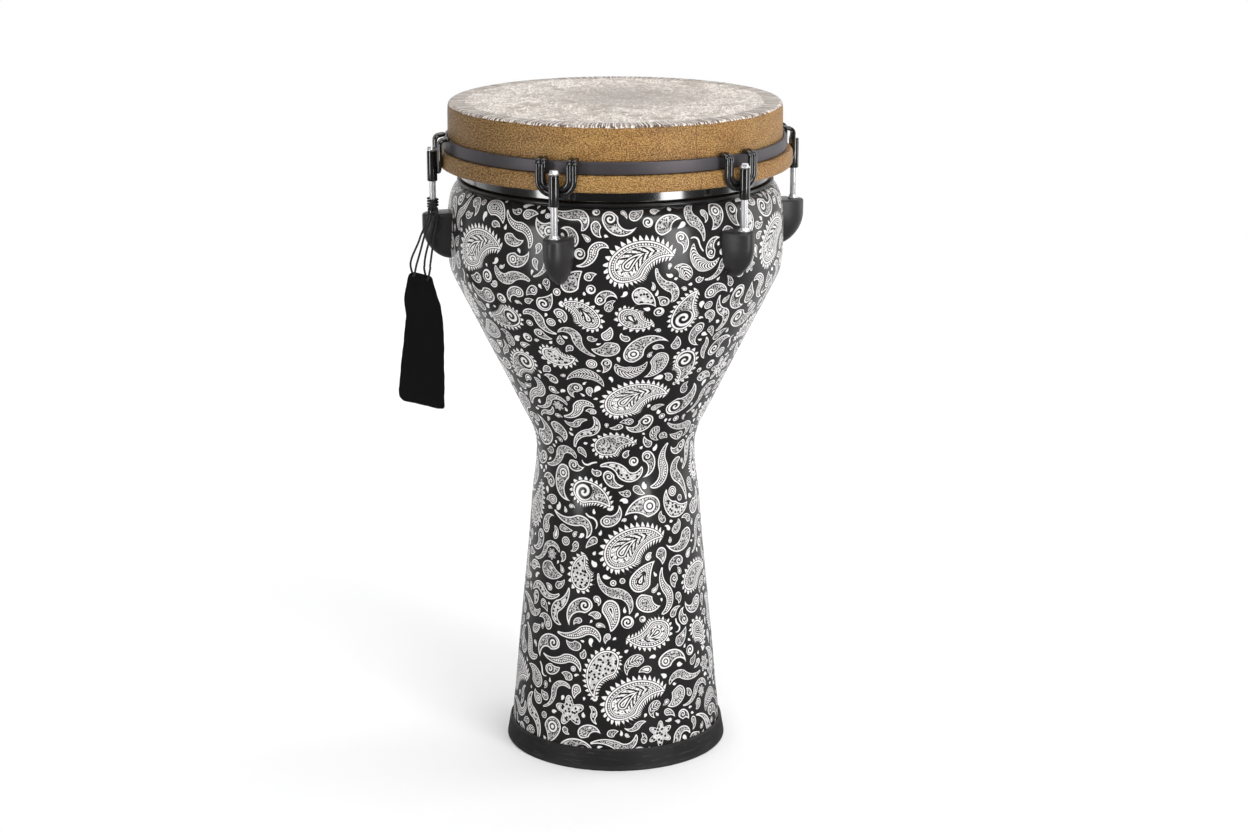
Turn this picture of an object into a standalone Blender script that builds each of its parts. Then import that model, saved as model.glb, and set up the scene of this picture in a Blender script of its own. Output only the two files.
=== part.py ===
"""Key-tuned goblet drum (djembe), 12 in head by 24 in tall.

A moulded goblet shell stands on a rubber foot ring. A gloss collar is plugged into the
shell's mouth and carries the bearing edge. The head (film on a wooden skirt with a flesh
hoop) is pulled down over the collar by a flat steel counter hoop, which six cast claws hook
over. Six rods pass through the claws into captive square nuts inside six lugs, and each lug
is held by one screw from inside the shell. A fabric tag hangs on a cord from the left rod.

Frame: origin at the centre of the playing head's top face, on the drum's axis, +Z up, the
front is -Y. Heights below are measured from the floor; the whole drum hangs from one empty
that brings the head's face to Z = 0.
"""

import math

import bpy
import bmesh
from mathutils import Matrix, Vector

MM = 0.001

# ---- driving dimensions, millimetres ---------------------------------------------------
HEIGHT = 609.6            # top of the film
GAP = 0.3                 # clearance between neighbours that rest on each other

SHELL_BOTTOM = 4.3
SHOULDER_Z = 536.5        # flat top of the shell
SHOULDER_R = 140.0        # outer edge of that flat
BOWL_R = 153.6            # widest outer radius of the bowl
WAIST_R = 73.6            # narrowest outer radius
FOOT_R = 99.2             # outer radius of the shell at its lower end
WALL = 7.0                # shell thickness at its lower end
MOUTH_R = 132.5           # opening in the shell's top
NECK_R = 140.0            # the gloss collar's neck

SKIRT_R = 152.0           # outside of the head's skirt
SKIRT_IN_R = 146.8
RIM_R = 7.6               # rounding where the film turns down into the skirt
FILM_T = 1.2
FLESH_R = 161.0
FLESH_Z0, FLESH_Z1 = 552.7, 567.3
BAND_R0, BAND_R1 = 152.4, 155.4
BAND_Z0, BAND_Z1 = FLESH_Z1 + GAP, 579.0

LUGS = 6
FIRST_AZIMUTH = -18.0     # degrees from the front (-Y), positive towards +X
ROD_CIRCLE_R = 168.0
ROD_R = 3.0               # M6
ROD_Z0 = 488.0
BARREL_R = 4.6            # the claw's barrel and the rod's flange
BARREL_Z0, BARREL_Z1 = 541.4, 568.8
LUG_TOP = 513.0
LUG_H = 43.0
LUG_HALF_W = 13.0
LUG_DEPTH = 24.6
LUG_AXIS_R = 153.2        # the lug's own axis lies on the shell's face
NUT_W = 10.0
NUT_Z0, NUT_Z1 = 496.0, 508.0
SCREW_Z = 480.0
SCREW_R = 2.5

RING = 36                 # facets round the drum's axis
SMALL = 12                # facets round a rod or a bore


# ---- scene and materials ---------------------------------------------------------------
for old_object in list(bpy.data.objects):
    bpy.data.objects.remove(old_object, do_unlink=True)

parts = bpy.data.collections.new("djembe")
cutters = bpy.data.collections.new("cutters")
bpy.context.scene.collection.children.link(parts)
bpy.context.scene.collection.children.link(cutters)


def material(name, colour, roughness, metallic=0.0):
    mat = bpy.data.materials.new(name)
    mat.use_nodes = True
    inputs = mat.node_tree.nodes["Principled BSDF"].inputs
    inputs["Base Color"].default_value = (*colour, 1.0)
    inputs["Roughness"].default_value = roughness
    inputs["Metallic"].default_value = metallic
    mat.diffuse_color = (*colour, 1.0)
    return mat


PRINT = material("printed_fabric", colour=(0.22, 0.21, 0.21), roughness=0.35)
COLLAR = material("gloss_black_collar", colour=(0.012, 0.012, 0.013), roughness=0.12)
RUBBER = material("black_rubber", colour=(0.03, 0.029, 0.03), roughness=0.7)
FILM = material("fibre_film", colour=(0.50, 0.45, 0.41), roughness=0.55)
SKIRT = material("fleck_brown", colour=(0.43, 0.24, 0.09), roughness=0.55)
BAND = material("satin_black_steel", colour=(0.045, 0.042, 0.044), roughness=0.38, metallic=0.6)
CLAW = material("gloss_black_casting", colour=(0.014, 0.014, 0.015), roughness=0.2, metallic=0.2)
CHROME = material("chrome", colour=(0.8, 0.8, 0.82), roughness=0.08, metallic=1.0)
LUG = material("satin_black_casting", colour=(0.04, 0.038, 0.04), roughness=0.42)
STEEL = material("zinc_steel", colour=(0.55, 0.55, 0.56), roughness=0.35, metallic=1.0)
FABRIC = material("black_suede", colour=(0.008, 0.008, 0.008), roughness=0.9)
CORD = material("black_cord", colour=(0.012, 0.012, 0.012), roughness=0.8)


# ---- building helpers: lengths in mm; a solid with no material is a cutter -----------------
def solid(name, bm, mat=None):
    """Turn a bmesh into an object in the parts, or in the hidden cutters."""
    mesh = bpy.data.meshes.new(name)
    bm.to_mesh(mesh)
    bm.free()
    ob = bpy.data.objects.new(name, mesh)
    if mat:
        parts.objects.link(ob)
        mesh.materials.append(mat)
    else:
        cutters.objects.link(ob)
        ob.hide_render = True
        ob.display_type = "WIRE"
    return ob


def turned(name, profile, mat=None, steps=RING, closed=True):
    """A profile of (radius, height) pairs turned round Z.
    closed: a ring whose last point joins the first. Otherwise both ends lie on the axis."""
    bm = bmesh.new()
    verts = [bm.verts.new((r * MM, 0.0, z * MM)) for r, z in profile]
    for start, end in zip(verts, verts[1:]):
        bm.edges.new((start, end))
    if closed:
        bm.edges.new((verts[-1], verts[0]))
    ob = solid(name, bm, mat)
    turn = ob.modifiers.new("turn", "SCREW")
    turn.axis = "Z"
    turn.angle = math.tau
    turn.steps = turn.render_steps = steps
    turn.use_merge_vertices = True
    turn.merge_threshold = 0.00001
    turn.use_smooth_shade = True
    return ob


def curve_bmesh(curve):
    """The curve's surface as a welded bmesh; the curve itself is discarded."""
    source = bpy.data.objects.new("curve_source", curve)
    bpy.context.scene.collection.objects.link(source)
    bpy.context.view_layer.update()
    depsgraph = bpy.context.evaluated_depsgraph_get()
    mesh = bpy.data.meshes.new_from_object(source.evaluated_get(depsgraph))
    bm = bmesh.new()
    bm.from_mesh(mesh)
    bpy.data.meshes.remove(mesh)
    bpy.data.objects.remove(source)
    bpy.data.curves.remove(curve)
    bmesh.ops.remove_doubles(bm, verts=bm.verts, dist=0.000001)
    return bm


# Where a flat outline's plane goes: its x runs along X or along Y, its y along Z
TO_XZ = Matrix.Rotation(math.radians(90.0), 4, "X")
TO_YZ = Matrix.Rotation(math.radians(90.0), 4, "Z") @ TO_XZ


def prism(name, outline, half, to_plane, mat=None):
    """A flat outline thickened by half to each side of its plane."""
    curve = bpy.data.curves.new(name, "CURVE")
    curve.dimensions = "2D"
    curve.fill_mode = "BOTH"
    curve.extrude = half * MM
    spline = curve.splines.new("POLY")
    spline.points.add(len(outline) - 1)
    for point, (x, y) in zip(spline.points, outline):
        point.co = (x * MM, y * MM, 0.0, 1.0)
    spline.use_cyclic_u = True
    bm = curve_bmesh(curve)
    bmesh.ops.dissolve_limit(bm, angle_limit=0.001, verts=bm.verts, edges=bm.edges)
    bmesh.ops.transform(bm, matrix=to_plane, verts=bm.verts)
    bmesh.ops.recalc_face_normals(bm, faces=bm.faces)
    return solid(name, bm, mat)


def bore(name, radius, z0, z1):
    """A cylindrical cutter on Z."""
    bm = bmesh.new()
    bmesh.ops.create_cone(bm, cap_ends=True, segments=SMALL, radius1=radius * MM,
                          radius2=radius * MM, depth=(z1 - z0) * MM,
                          matrix=Matrix.Translation((0, 0, (z0 + z1) / 2 * MM)))
    return solid(name, bm)


def block(name, x_range, y_range, z_range, mat=None):
    ranges = (x_range, y_range, z_range)
    centre = [(low + high) / 2 * MM for low, high in ranges]
    size = [(high - low) * MM for low, high in ranges]
    bm = bmesh.new()
    bmesh.ops.create_cube(bm, size=1.0,
                          matrix=Matrix.Translation(centre) @ Matrix.Diagonal((*size, 1.0)))
    return solid(name, bm, mat)


def boolean(ob, other, how="DIFFERENCE"):
    mod = ob.modifiers.new(how.lower(), "BOOLEAN")
    mod.operation = how
    mod.solver = "EXACT"
    mod.object = other


def settle(ob):
    """The object's evaluated mesh becomes its own mesh."""
    bpy.context.view_layer.update()
    depsgraph = bpy.context.evaluated_depsgraph_get()
    mesh = bpy.data.meshes.new_from_object(ob.evaluated_get(depsgraph))
    unmodified = ob.data
    ob.modifiers.clear()
    ob.data = mesh
    bpy.data.meshes.remove(unmodified)
    mesh.name = ob.name


def shade(ob, angle=32.0):
    ob.data.shade_smooth()
    ob.data.set_sharp_from_angle(angle=math.radians(angle))


def arc(centre, radius, start, end, count, radius_z=None):
    """count + 1 points from start to end degrees; radius_z makes the arc elliptical."""
    angles = [math.radians(start + (end - start) * i / count) for i in range(count + 1)]
    return [(centre[0] + radius * math.cos(a), centre[1] + (radius_z or radius) * math.sin(a))
            for a in angles]


def mirrored(half_outline):
    """The outline followed by its mirror image across x = 0."""
    return half_outline + [(-x, z) for x, z in reversed(half_outline)]


def empty(name, size=0.02):
    ob = bpy.data.objects.new(name, None)
    ob.empty_display_size = size
    parts.objects.link(ob)
    return ob


def station(k, radius=ROD_CIRCLE_R):
    """Local frame of lug k: +X sideways (clockwise from above), +Y outwards."""
    azimuth = math.radians(FIRST_AZIMUTH + 360.0 / LUGS * k)
    place = Vector((radius * MM * math.sin(azimuth), -radius * MM * math.cos(azimuth), 0.0))
    return Matrix.Translation(place) @ Matrix.Rotation(azimuth + math.pi, 4, "Z")


def repeat(master, base, parents=None):
    """Replace the master by one object per lug, all sharing its mesh, on the rods' axes."""
    for k in range(LUGS):
        ob = bpy.data.objects.new(f"{base}_{k + 1}", master.data)
        parts.objects.link(ob)
        if parents:
            ob.parent = parents[k]
        else:
            ob.matrix_world = station(k)
    bpy.data.objects.remove(master)


# Puts local Z on a lug screw's axis, pointing outwards
SCREW_AXIS = (Matrix.Translation((0, 0, SCREW_Z * MM))
              @ Matrix.Rotation(-math.pi / 2, 4, "X"))


# ---- shell: (radius, height) ---------------------------------------------------------------
SHELL_OUTER = [            # shoulder, bowl, cone, waist, foot
    (SHOULDER_R, SHOULDER_Z), (146.2, 532.6), (151.0, 522.5), (153.2, 508.0),
    (BOWL_R, 476.0), (151.9, 459.0), (148.3, 450.0),
    (84.6, 321.5), (76.7, 305.0), (WAIST_R, 290.0),
    (77.2, 250.0), (86.3, 150.0), (98.4, 20.5), (FOOT_R, SHELL_BOTTOM)]
SHELL_INNER = [            # foot up to the mouth
    (FOOT_R - WALL, SHELL_BOTTOM), (79.3, 150.0), (66.8, 284.0), (69.6, 304.0),
    (141.2, 451.0), (146.4, 468.0), (146.2, 508.0), (141.0, 524.0), (MOUTH_R, 529.5)]


def make_shell():
    shell = turned("shell", [(MOUTH_R, SHOULDER_Z)] + SHELL_OUTER + SHELL_INNER, PRINT)
    wall_r = 150.0         # inside the wall's thickness at the screws
    for k in range(LUGS):
        hole = bore(f"cut_screw_{k + 1}", SCREW_R + 0.4, -20.0, 30.0)
        hole.matrix_world = station(k, wall_r) @ SCREW_AXIS
        boolean(shell, hole)


def make_shell_cutter():
    """The shell filled solid and one clearance larger, with the same facets."""
    cap_z = SHOULDER_Z + 4.0
    profile = ([(0.0, cap_z), (SHOULDER_R + GAP, cap_z)]
               + [(r + GAP, z) for r, z in SHELL_OUTER] + [(0.0, SHELL_BOTTOM)])
    cutter = turned("cut_around_shell", profile, closed=False)
    settle(cutter)
    return cutter


# ---- rings round the drum's axis -----------------------------------------------------------
def make_collar():
    """The collar, with the bearing edge at its top and a plug in the shell's mouth."""
    plug_r = MOUTH_R - 0.4
    plug_in_r = 127.5
    plug_z0 = 520.0
    turned("bearing_collar", [
        (141.5, 608.1), (144.4, 606.8), (145.4, 603.5), (145.4, 597.0), (NECK_R, 589.0),
        (NECK_R, 541.6), (143.2, 540.2), (144.0, 538.5), (141.8, SHOULDER_Z + GAP),
        (plug_r, SHOULDER_Z + GAP), (plug_r, plug_z0), (plug_in_r, plug_z0),
        (plug_in_r, 545.0), (135.0, 558.0), (135.5, 600.0)], COLLAR)


def make_foot_ring():
    """A channel the shell's lower edge sits in."""
    inner_r = 88.0
    lip_z = 12.6
    channel_z = SHELL_BOTTOM - GAP
    turned("foot_ring", [
        (99.4, 20.4), (101.0, 18.6), (102.4, 11.0), (104.0, 1.4), (103.0, 0.0),
        (inner_r, 0.0), (inner_r, lip_z), (91.0, lip_z), (91.7, channel_z),
        (99.55, channel_z), (98.9, 19.8)], RUBBER)


def make_head():
    rim = (SKIRT_R - RIM_R, HEIGHT - RIM_R)
    film_edge = 18.4       # degrees above level where the film ends on the rounding
    turned("head_film", [(0.0, HEIGHT)] + arc(rim, RIM_R, 90.0, film_edge, 3)
           + arc(rim, RIM_R - FILM_T, film_edge, 90.0, 3) + [(0.0, HEIGHT - FILM_T)],
           FILM, closed=False)

    skirt_z0 = FLESH_Z0 + 0.5
    turned("head_skirt", arc(rim, RIM_R - FILM_T - 2 * GAP, 66.0, 16.0, 2)
           + arc(rim, RIM_R, 16.0, 0.0, 1)
           + [(SKIRT_R, skirt_z0), (SKIRT_IN_R, skirt_z0), (SKIRT_IN_R, 606.6)], SKIRT)

    turned("flesh_hoop", [
        (BAND_R0, FLESH_Z1), (158.2, FLESH_Z1), (FLESH_R, FLESH_Z1 - 2.6),
        (FLESH_R, FLESH_Z0 + 2.0), (159.2, FLESH_Z0), (BAND_R0, FLESH_Z0)], SKIRT)


def make_counter_hoop():
    turned("counter_hoop", [(BAND_R0, BAND_Z1), (BAND_R1, BAND_Z1),
                            (BAND_R1, BAND_Z0), (BAND_R0, BAND_Z0)], BAND)


# ---- parts at each lug, modelled on the rod's axis, +Y outwards ----------------------------
def make_claw():
    """Two hooked fingers joined in a U, and a barrel the rod runs through."""
    hook_y = -9.4          # centre of the hook's bends
    hook_z = BAND_Z1 + GAP # underside of the hook, on the counter hoop
    side = ([(-6.5, 546.0), (-3.3, 546.0), (-3.3, 576.0)]
            + arc((hook_y, 576.0), 6.1, 18.0, 118.0, 4)
            + [(-15.2, 580.3), (-15.4, hook_z), (-11.6, hook_z)]
            + arc((hook_y, 576.2), 2.9, 82.0, 8.0, 2))
    claw = prism("claw", side, 24.0, TO_YZ, CLAW)

    half_width = 19.0
    corner_r = 13.0
    corner_z = 563.0
    front = ([(half_width, 590.0), (half_width, corner_z)]
             + arc((half_width - corner_r, corner_z), corner_r, -25.0, -90.0, 3,
                   radius_z=14.6))
    notch = [(9.0, 600.0), (9.0, 565.0), (5.0, 558.0)]
    through = 30.0
    boolean(claw, prism("cut_claw_front", mirrored(front), through, TO_XZ), "INTERSECT")
    boolean(claw, prism("cut_claw_notch", mirrored(notch), through, TO_XZ))
    boolean(claw, bore("cut_barrel", BARREL_R, BARREL_Z0, BARREL_Z1), "UNION")
    boolean(claw, bore("cut_claw_bore", ROD_R + 0.25, 530.0, 590.0))
    settle(claw)
    shade(claw)
    repeat(claw, "claw")


def make_rods():
    """Domed head, flange and M6 shank, each rod on an empty of its own."""
    flange_z0 = BARREL_Z1 + GAP
    rod = turned("rod", [
        (0.0, 573.2), (2.6, 572.7), (3.2, 570.6), (BARREL_R, 570.4), (BARREL_R, flange_z0),
        (ROD_R, flange_z0), (ROD_R, ROD_Z0), (0.0, ROD_Z0)], CHROME, SMALL, closed=False)
    settle(rod)
    shade(rod)
    axes = []
    for k in range(LUGS):
        axis = empty(f"rod_axis_{k + 1}")
        axis.matrix_world = station(k)
        axes.append(axis)
    repeat(rod, "tuning_rod", parents=axes)


def make_ferrules():
    bore_r = ROD_R + 0.2
    z0, z1 = LUG_TOP + GAP, 516.3
    ferrule = turned("ferrule", [(3.7, z1), (5.2, z0), (bore_r, z0), (bore_r, z1)],
                     CHROME, SMALL)
    settle(ferrule)
    shade(ferrule)
    repeat(ferrule, "rod_ferrule")


def make_lugs(around_shell):
    """Half a bullet, nose down, hollow for the rod and its nut, its back fitted to the shell."""
    bullet = [(0.0, LUG_TOP), (11.9, LUG_TOP), (LUG_HALF_W, LUG_TOP - 1.3),
              (LUG_HALF_W, LUG_TOP - 13.0)]
    nose_start = 0.3       # fraction of the height above the nose
    nose_power = 0.62      # bluntness of the nose
    for i in range(2, 7):
        along = i / 6.0
        z = LUG_TOP - LUG_H * (nose_start + (1.0 - nose_start) * along)
        bullet.append((LUG_HALF_W * (1.0 - along ** 2) ** nose_power, z))
    lug = turned("lug", bullet, LUG, steps=20, closed=False)
    settle(lug)
    for vert in lug.data.vertices:
        vert.co.y *= LUG_DEPTH / LUG_HALF_W
    place = station(0, LUG_AXIS_R)
    lug.matrix_world = place
    boolean(lug, around_shell)

    pocket_half = NUT_W / 2 + GAP
    pocket = block("cut_nut_pocket", (-pocket_half, pocket_half), (-24.0, pocket_half),
                   (NUT_Z0 - GAP, NUT_Z1 + GAP))
    pocket.matrix_world = station(0)
    boolean(lug, pocket)
    rod_bore = bore("cut_lug_bore", ROD_R + 0.5, 486.0, 520.0)
    rod_bore.matrix_world = station(0)
    boolean(lug, rod_bore)
    screw_bore = bore("cut_lug_screw", SCREW_R + 0.25, -10.0, 11.0)
    screw_bore.matrix_world = place @ SCREW_AXIS
    boolean(lug, screw_bore)
    settle(lug)
    # from the lug's own axis to the rod's
    lug.data.transform(station(0).inverted() @ place)
    shade(lug)
    repeat(lug, "lug_casing")


def make_nuts():
    across = (-NUT_W / 2, NUT_W / 2)
    nut = block("nut", across, across, (NUT_Z0, NUT_Z1), STEEL)
    boolean(nut, bore("cut_nut_bore", ROD_R + 0.18, 480.0, 520.0))
    settle(nut)
    repeat(nut, "lug_nut")


def make_lug_screws():
    """Driven outwards from inside the shell; heights run outwards from the lug's axis."""
    tip, under_head = 10.0, -7.6
    screw = turned("screw", [
        (0.0, tip), (SCREW_R, tip), (SCREW_R, under_head), (6.0, under_head),
        (5.2, -10.0), (0.0, -10.6)], STEEL, steps=10, closed=False)
    settle(screw)
    to_lug_axis = Matrix.Translation((0, (LUG_AXIS_R - ROD_CIRCLE_R) * MM, 0))
    screw.data.transform(to_lug_axis @ SCREW_AXIS)
    shade(screw)
    repeat(screw, "lug_screw")


# ---- tag on the left rod -------------------------------------------------------------------
# Places about that rod are (r, t, z): r outwards (+Y), t towards the front (-X), z height
LEFT = 5
PIVOT_R, PIVOT_Z = 1.8, 517.0
TAG_T = 16.6               # tag's mid-plane
TAG_HALF_T = 1.2
CORD_R = 1.0
CORD_TOP_T = 14.6          # where the cord's ends meet the knot
KNOT_BORE_R = 3.5
EYELET_R = 2.0
EYELET_OUT, EYELET_IN = (21.0, 458.5), (8.6, 454.5)       # (r, z)

TAG_OUTLINE = [            # (r, z)
    (4.4, 457.4), (-3.1, 430.8), (-5.8, 411.8), (-5.8, 332.0), (0.7, 333.0), (33.0, 343.2),
    (36.2, 347.0), (37.0, 354.8), (33.0, 388.0), (28.6, 421.0), (30.4, 437.0), (25.0, 464.0)]
CORD_LOOP = [              # (r, t, z) from the eyelet's centre, front side to back side
    (-2.0, 2.4, 8.0), (-0.6, 2.7, 2.2), (0.0, 2.2, 0.0), (0.0, 0.0, -0.5),
    (0.0, -2.2, 0.0), (0.6, -2.7, 2.2), (2.0, -2.3, 8.0)]


def to_swing(r, t, z):
    """(r, t, z) in mm to the swing frame in metres."""
    return (-t * MM, (r - PIVOT_R) * MM, (z - PIVOT_Z) * MM)


def make_knot(swivel):
    """A collar round the rod with a lump on its front side."""
    knot = turned("tag_knot", [(4.6, 527.2), (6.6, 524.4), (6.6, 519.4), (4.6, 516.7),
                               (KNOT_BORE_R, 517.2), (KNOT_BORE_R, 526.6)], CORD, SMALL)
    bm = bmesh.new()
    bmesh.ops.create_uvsphere(
        bm, u_segments=10, v_segments=5, radius=1.0,
        matrix=Matrix.Translation((-8.4 * MM, 0.6 * MM, 521.0 * MM))
        @ Matrix.Diagonal((4.3 * MM, 4.6 * MM, 4.2 * MM, 1.0)))
    boolean(knot, solid("cut_knot_lump", bm), "UNION")
    boolean(knot, bore("cut_knot_bore", KNOT_BORE_R, 510.0, 535.0))
    settle(knot)
    shade(knot)
    knot.parent = swivel


def make_cord(name, front_r, back_r, eyelet, swing):
    """From the knot down through an eyelet and back; front_r, back_r are its ends' r."""
    hole_r, hole_z = eyelet
    top_z = PIVOT_Z - 0.5
    middle_z = (PIVOT_Z + hole_z) / 2 + 4.0
    points = ([(front_r, CORD_TOP_T, top_z),
               ((front_r + hole_r - 2.2) / 2, CORD_TOP_T + 0.4, middle_z)]
              + [(hole_r + r, TAG_T + t, hole_z + z) for r, t, z in CORD_LOOP]
              + [((back_r + hole_r + 2.2) / 2, CORD_TOP_T - 0.2, middle_z),
                 (back_r, CORD_TOP_T, top_z)])
    curve = bpy.data.curves.new(name, "CURVE")
    curve.dimensions = "3D"
    curve.bevel_depth = CORD_R * MM
    curve.bevel_resolution = 1
    curve.use_fill_caps = True
    spline = curve.splines.new("POLY")
    spline.points.add(len(points) - 1)
    for spline_point, place in zip(spline.points, points):
        spline_point.co = (*to_swing(*place), 1.0)
    bm = curve_bmesh(curve)
    bmesh.ops.recalc_face_normals(bm, faces=bm.faces)
    strand = solid(name, bm, CORD)
    shade(strand, 60.0)
    strand.parent = swing


def make_tag(swing):
    outline = [(r - PIVOT_R, z - PIVOT_Z) for r, z in TAG_OUTLINE]
    tag = prism("tag", outline, TAG_HALF_T, TO_YZ, FABRIC)
    tag.data.transform(Matrix.Translation((-TAG_T * MM, 0, 0)))
    for i, (r, z) in enumerate((EYELET_OUT, EYELET_IN)):
        hole = bore(f"cut_eyelet_{i + 1}", EYELET_R, -8.0, 8.0)
        hole.data.transform(Matrix.Translation(to_swing(r, TAG_T, z))
                            @ Matrix.Rotation(math.pi / 2, 4, "Y"))
        boolean(tag, hole)
    settle(tag)
    tag.parent = swing
    shade(tag)


def make_hanging_tag():
    """The knot turns about the rod; cord and tag also swing from the pivot."""
    swivel = empty("tag_swivel_axis")
    swivel.matrix_world = station(LEFT)
    swing = empty("tag_swing_axis")
    swing.parent = swivel
    swing.location = (0.0, PIVOT_R * MM, PIVOT_Z * MM)
    make_knot(swivel)
    make_cord("tag_cord_outer", 3.3, 5.7, EYELET_OUT, swing)
    make_cord("tag_cord_inner", -1.9, 0.5, EYELET_IN, swing)
    make_tag(swing)


# ---- assembly ------------------------------------------------------------------------------
make_shell()
make_collar()
make_foot_ring()
make_head()
make_counter_hoop()
make_claw()
make_rods()
make_ferrules()
make_lugs(make_shell_cutter())
make_nuts()
make_lug_screws()
make_hanging_tag()

# everything without a parent hangs from the floor datum
unparented = [ob for ob in list(parts.objects) + list(cutters.objects) if ob.parent is None]
floor_datum = empty("floor_datum", size=0.1)
floor_datum.location = (0.0, 0.0, -HEIGHT * MM)
for ob in unparented:
    ob.parent = floor_datum

# faces left by the cutters take their part's one material
for ob in parts.objects:
    if ob.type == "MESH" and not ob.modifiers:
        for polygon in ob.data.polygons:
            polygon.material_index = 0
bpy.context.view_layer.update()
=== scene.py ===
"""Looks of a key-tuned goblet drum, built round its CAD frame.

The drum stands upright on the world's Z axis. Sizes are in millimetres unless a comment says
metres, and heights are above the floor. Azimuth 0 is the front (-Y), positive towards +X.
"""

import math
from collections import Counter

import bmesh
import bpy
import numpy as np
from mathutils import Matrix, Vector
from mathutils.geometry import delaunay_2d_cdt


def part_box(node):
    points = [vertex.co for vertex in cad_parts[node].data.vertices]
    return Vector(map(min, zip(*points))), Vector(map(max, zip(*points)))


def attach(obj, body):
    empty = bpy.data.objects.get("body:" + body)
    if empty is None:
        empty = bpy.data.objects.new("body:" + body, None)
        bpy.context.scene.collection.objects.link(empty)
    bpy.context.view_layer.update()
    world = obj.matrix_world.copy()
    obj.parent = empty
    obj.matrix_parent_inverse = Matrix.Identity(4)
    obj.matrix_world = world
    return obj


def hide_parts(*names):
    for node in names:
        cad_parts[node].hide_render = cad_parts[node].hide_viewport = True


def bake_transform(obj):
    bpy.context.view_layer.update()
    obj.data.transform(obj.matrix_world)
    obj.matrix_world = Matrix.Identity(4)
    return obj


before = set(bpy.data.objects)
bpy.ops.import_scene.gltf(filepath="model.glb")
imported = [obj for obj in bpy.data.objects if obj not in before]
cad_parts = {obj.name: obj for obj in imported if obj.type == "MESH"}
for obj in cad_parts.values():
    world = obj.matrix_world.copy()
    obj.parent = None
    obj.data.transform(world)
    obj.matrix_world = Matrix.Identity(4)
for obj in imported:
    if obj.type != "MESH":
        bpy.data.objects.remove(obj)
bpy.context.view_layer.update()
MM = 0.001
TAU = 2.0 * math.pi
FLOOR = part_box("foot_ring")[0].z      # metres


def level(height):
    """World Z of a height above the floor."""
    return FLOOR + height * MM


def polar(radius, angle, height):
    """World point at a radius, azimuth and height."""
    return (radius * MM * math.sin(angle), -radius * MM * math.cos(angle), level(height))


def bottom_of(node):
    return (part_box(node)[0].z - FLOOR) / MM


def top_of(node):
    return (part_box(node)[1].z - FLOOR) / MM


# ---------------------------------------------------------------------------------------
# formulas as shader nodes
# ---------------------------------------------------------------------------------------
SOCKETS = dict(
    color="Base Color", rough="Roughness", metal="Metallic", coat="Coat Weight",
    coat_rough="Coat Roughness", coat_ior="Coat IOR", coat_normal="Coat Normal",
    sheen="Sheen Weight", sheen_rough="Sheen Roughness", normal="Normal",
    spec="Specular IOR Level", glow="Emission Strength")


class Shader:
    """A new material and the nodes that feed its Principled BSDF."""

    def __init__(self, name):
        self.material = bpy.data.materials.new(name)
        self.material.use_nodes = True
        self.tree = self.material.node_tree
        self.bsdf = self.tree.nodes["Principled BSDF"]

    def node(self, kind, **settings):
        node = self.tree.nodes.new(kind)
        for key, value in settings.items():
            setattr(node, key, value)
        return node

    def wire(self, source, target):
        """Feed a number, a Value or an output socket into an input."""
        if isinstance(source, Value):
            source = source.source
        if isinstance(source, (int, float)):
            target.default_value = source
        else:
            self.tree.links.new(source, target)

    def split(self, vector):
        node = self.node("ShaderNodeSeparateXYZ")
        self.wire(vector, node.inputs[0])
        return [Value(self, node.outputs[i]) for i in range(3)]

    def attribute(self, name):
        return self.split(self.node("ShaderNodeAttribute", attribute_name=name).outputs["Vector"])

    def position(self):
        return self.node("ShaderNodeTexCoord").outputs["Object"]

    def vector(self, x, y, z=0.0):
        node = self.node("ShaderNodeCombineXYZ")
        for i, part in enumerate((x, y, z)):
            self.wire(part, node.inputs[i])
        return node.outputs[0]

    def noise(self, at, scale, detail=2.0, rough=0.5, bend=0.0, dims="3D"):
        node = self.node("ShaderNodeTexNoise", noise_dimensions=dims)
        self.wire(at, node.inputs["Vector"])
        node.inputs["Scale"].default_value = scale
        node.inputs["Detail"].default_value = detail
        node.inputs["Roughness"].default_value = rough
        node.inputs["Distortion"].default_value = bend
        return Value(self, node.outputs["Fac"])

    def voronoi(self, at, scale, dims="3D"):
        """Distance to the nearest cell point."""
        node = self.node("ShaderNodeTexVoronoi", voronoi_dimensions=dims)
        self.wire(at, node.inputs["Vector"])
        node.inputs["Scale"].default_value = scale
        return Value(self, node.outputs["Distance"])

    def stretch(self, vector, x, y, z=1.0):
        node = self.node("ShaderNodeMapping")
        self.wire(vector, node.inputs["Vector"])
        node.inputs["Scale"].default_value = (x, y, z)
        return node.outputs[0]

    def mix(self, amount, under, over):
        """Colour: under where amount is 0, over where it is 1."""
        node = self.node("ShaderNodeMix", data_type="RGBA", blend_type="MIX")
        self.wire(amount, node.inputs[0])
        for target, color in ((node.inputs[6], under), (node.inputs[7], over)):
            if isinstance(color, tuple):
                target.default_value = (*color, 1.0)
            else:
                self.wire(color, target)
        return node.outputs[2]

    def bump(self, height, strength, distance):
        node = self.node("ShaderNodeBump")
        node.inputs["Strength"].default_value = strength
        node.inputs["Distance"].default_value = distance
        self.wire(height, node.inputs["Height"])
        return node.outputs[0]

    def set(self, **values):
        for key, value in values.items():
            self.wire(value, self.bsdf.inputs[SOCKETS[key]])
        return self.material


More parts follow.
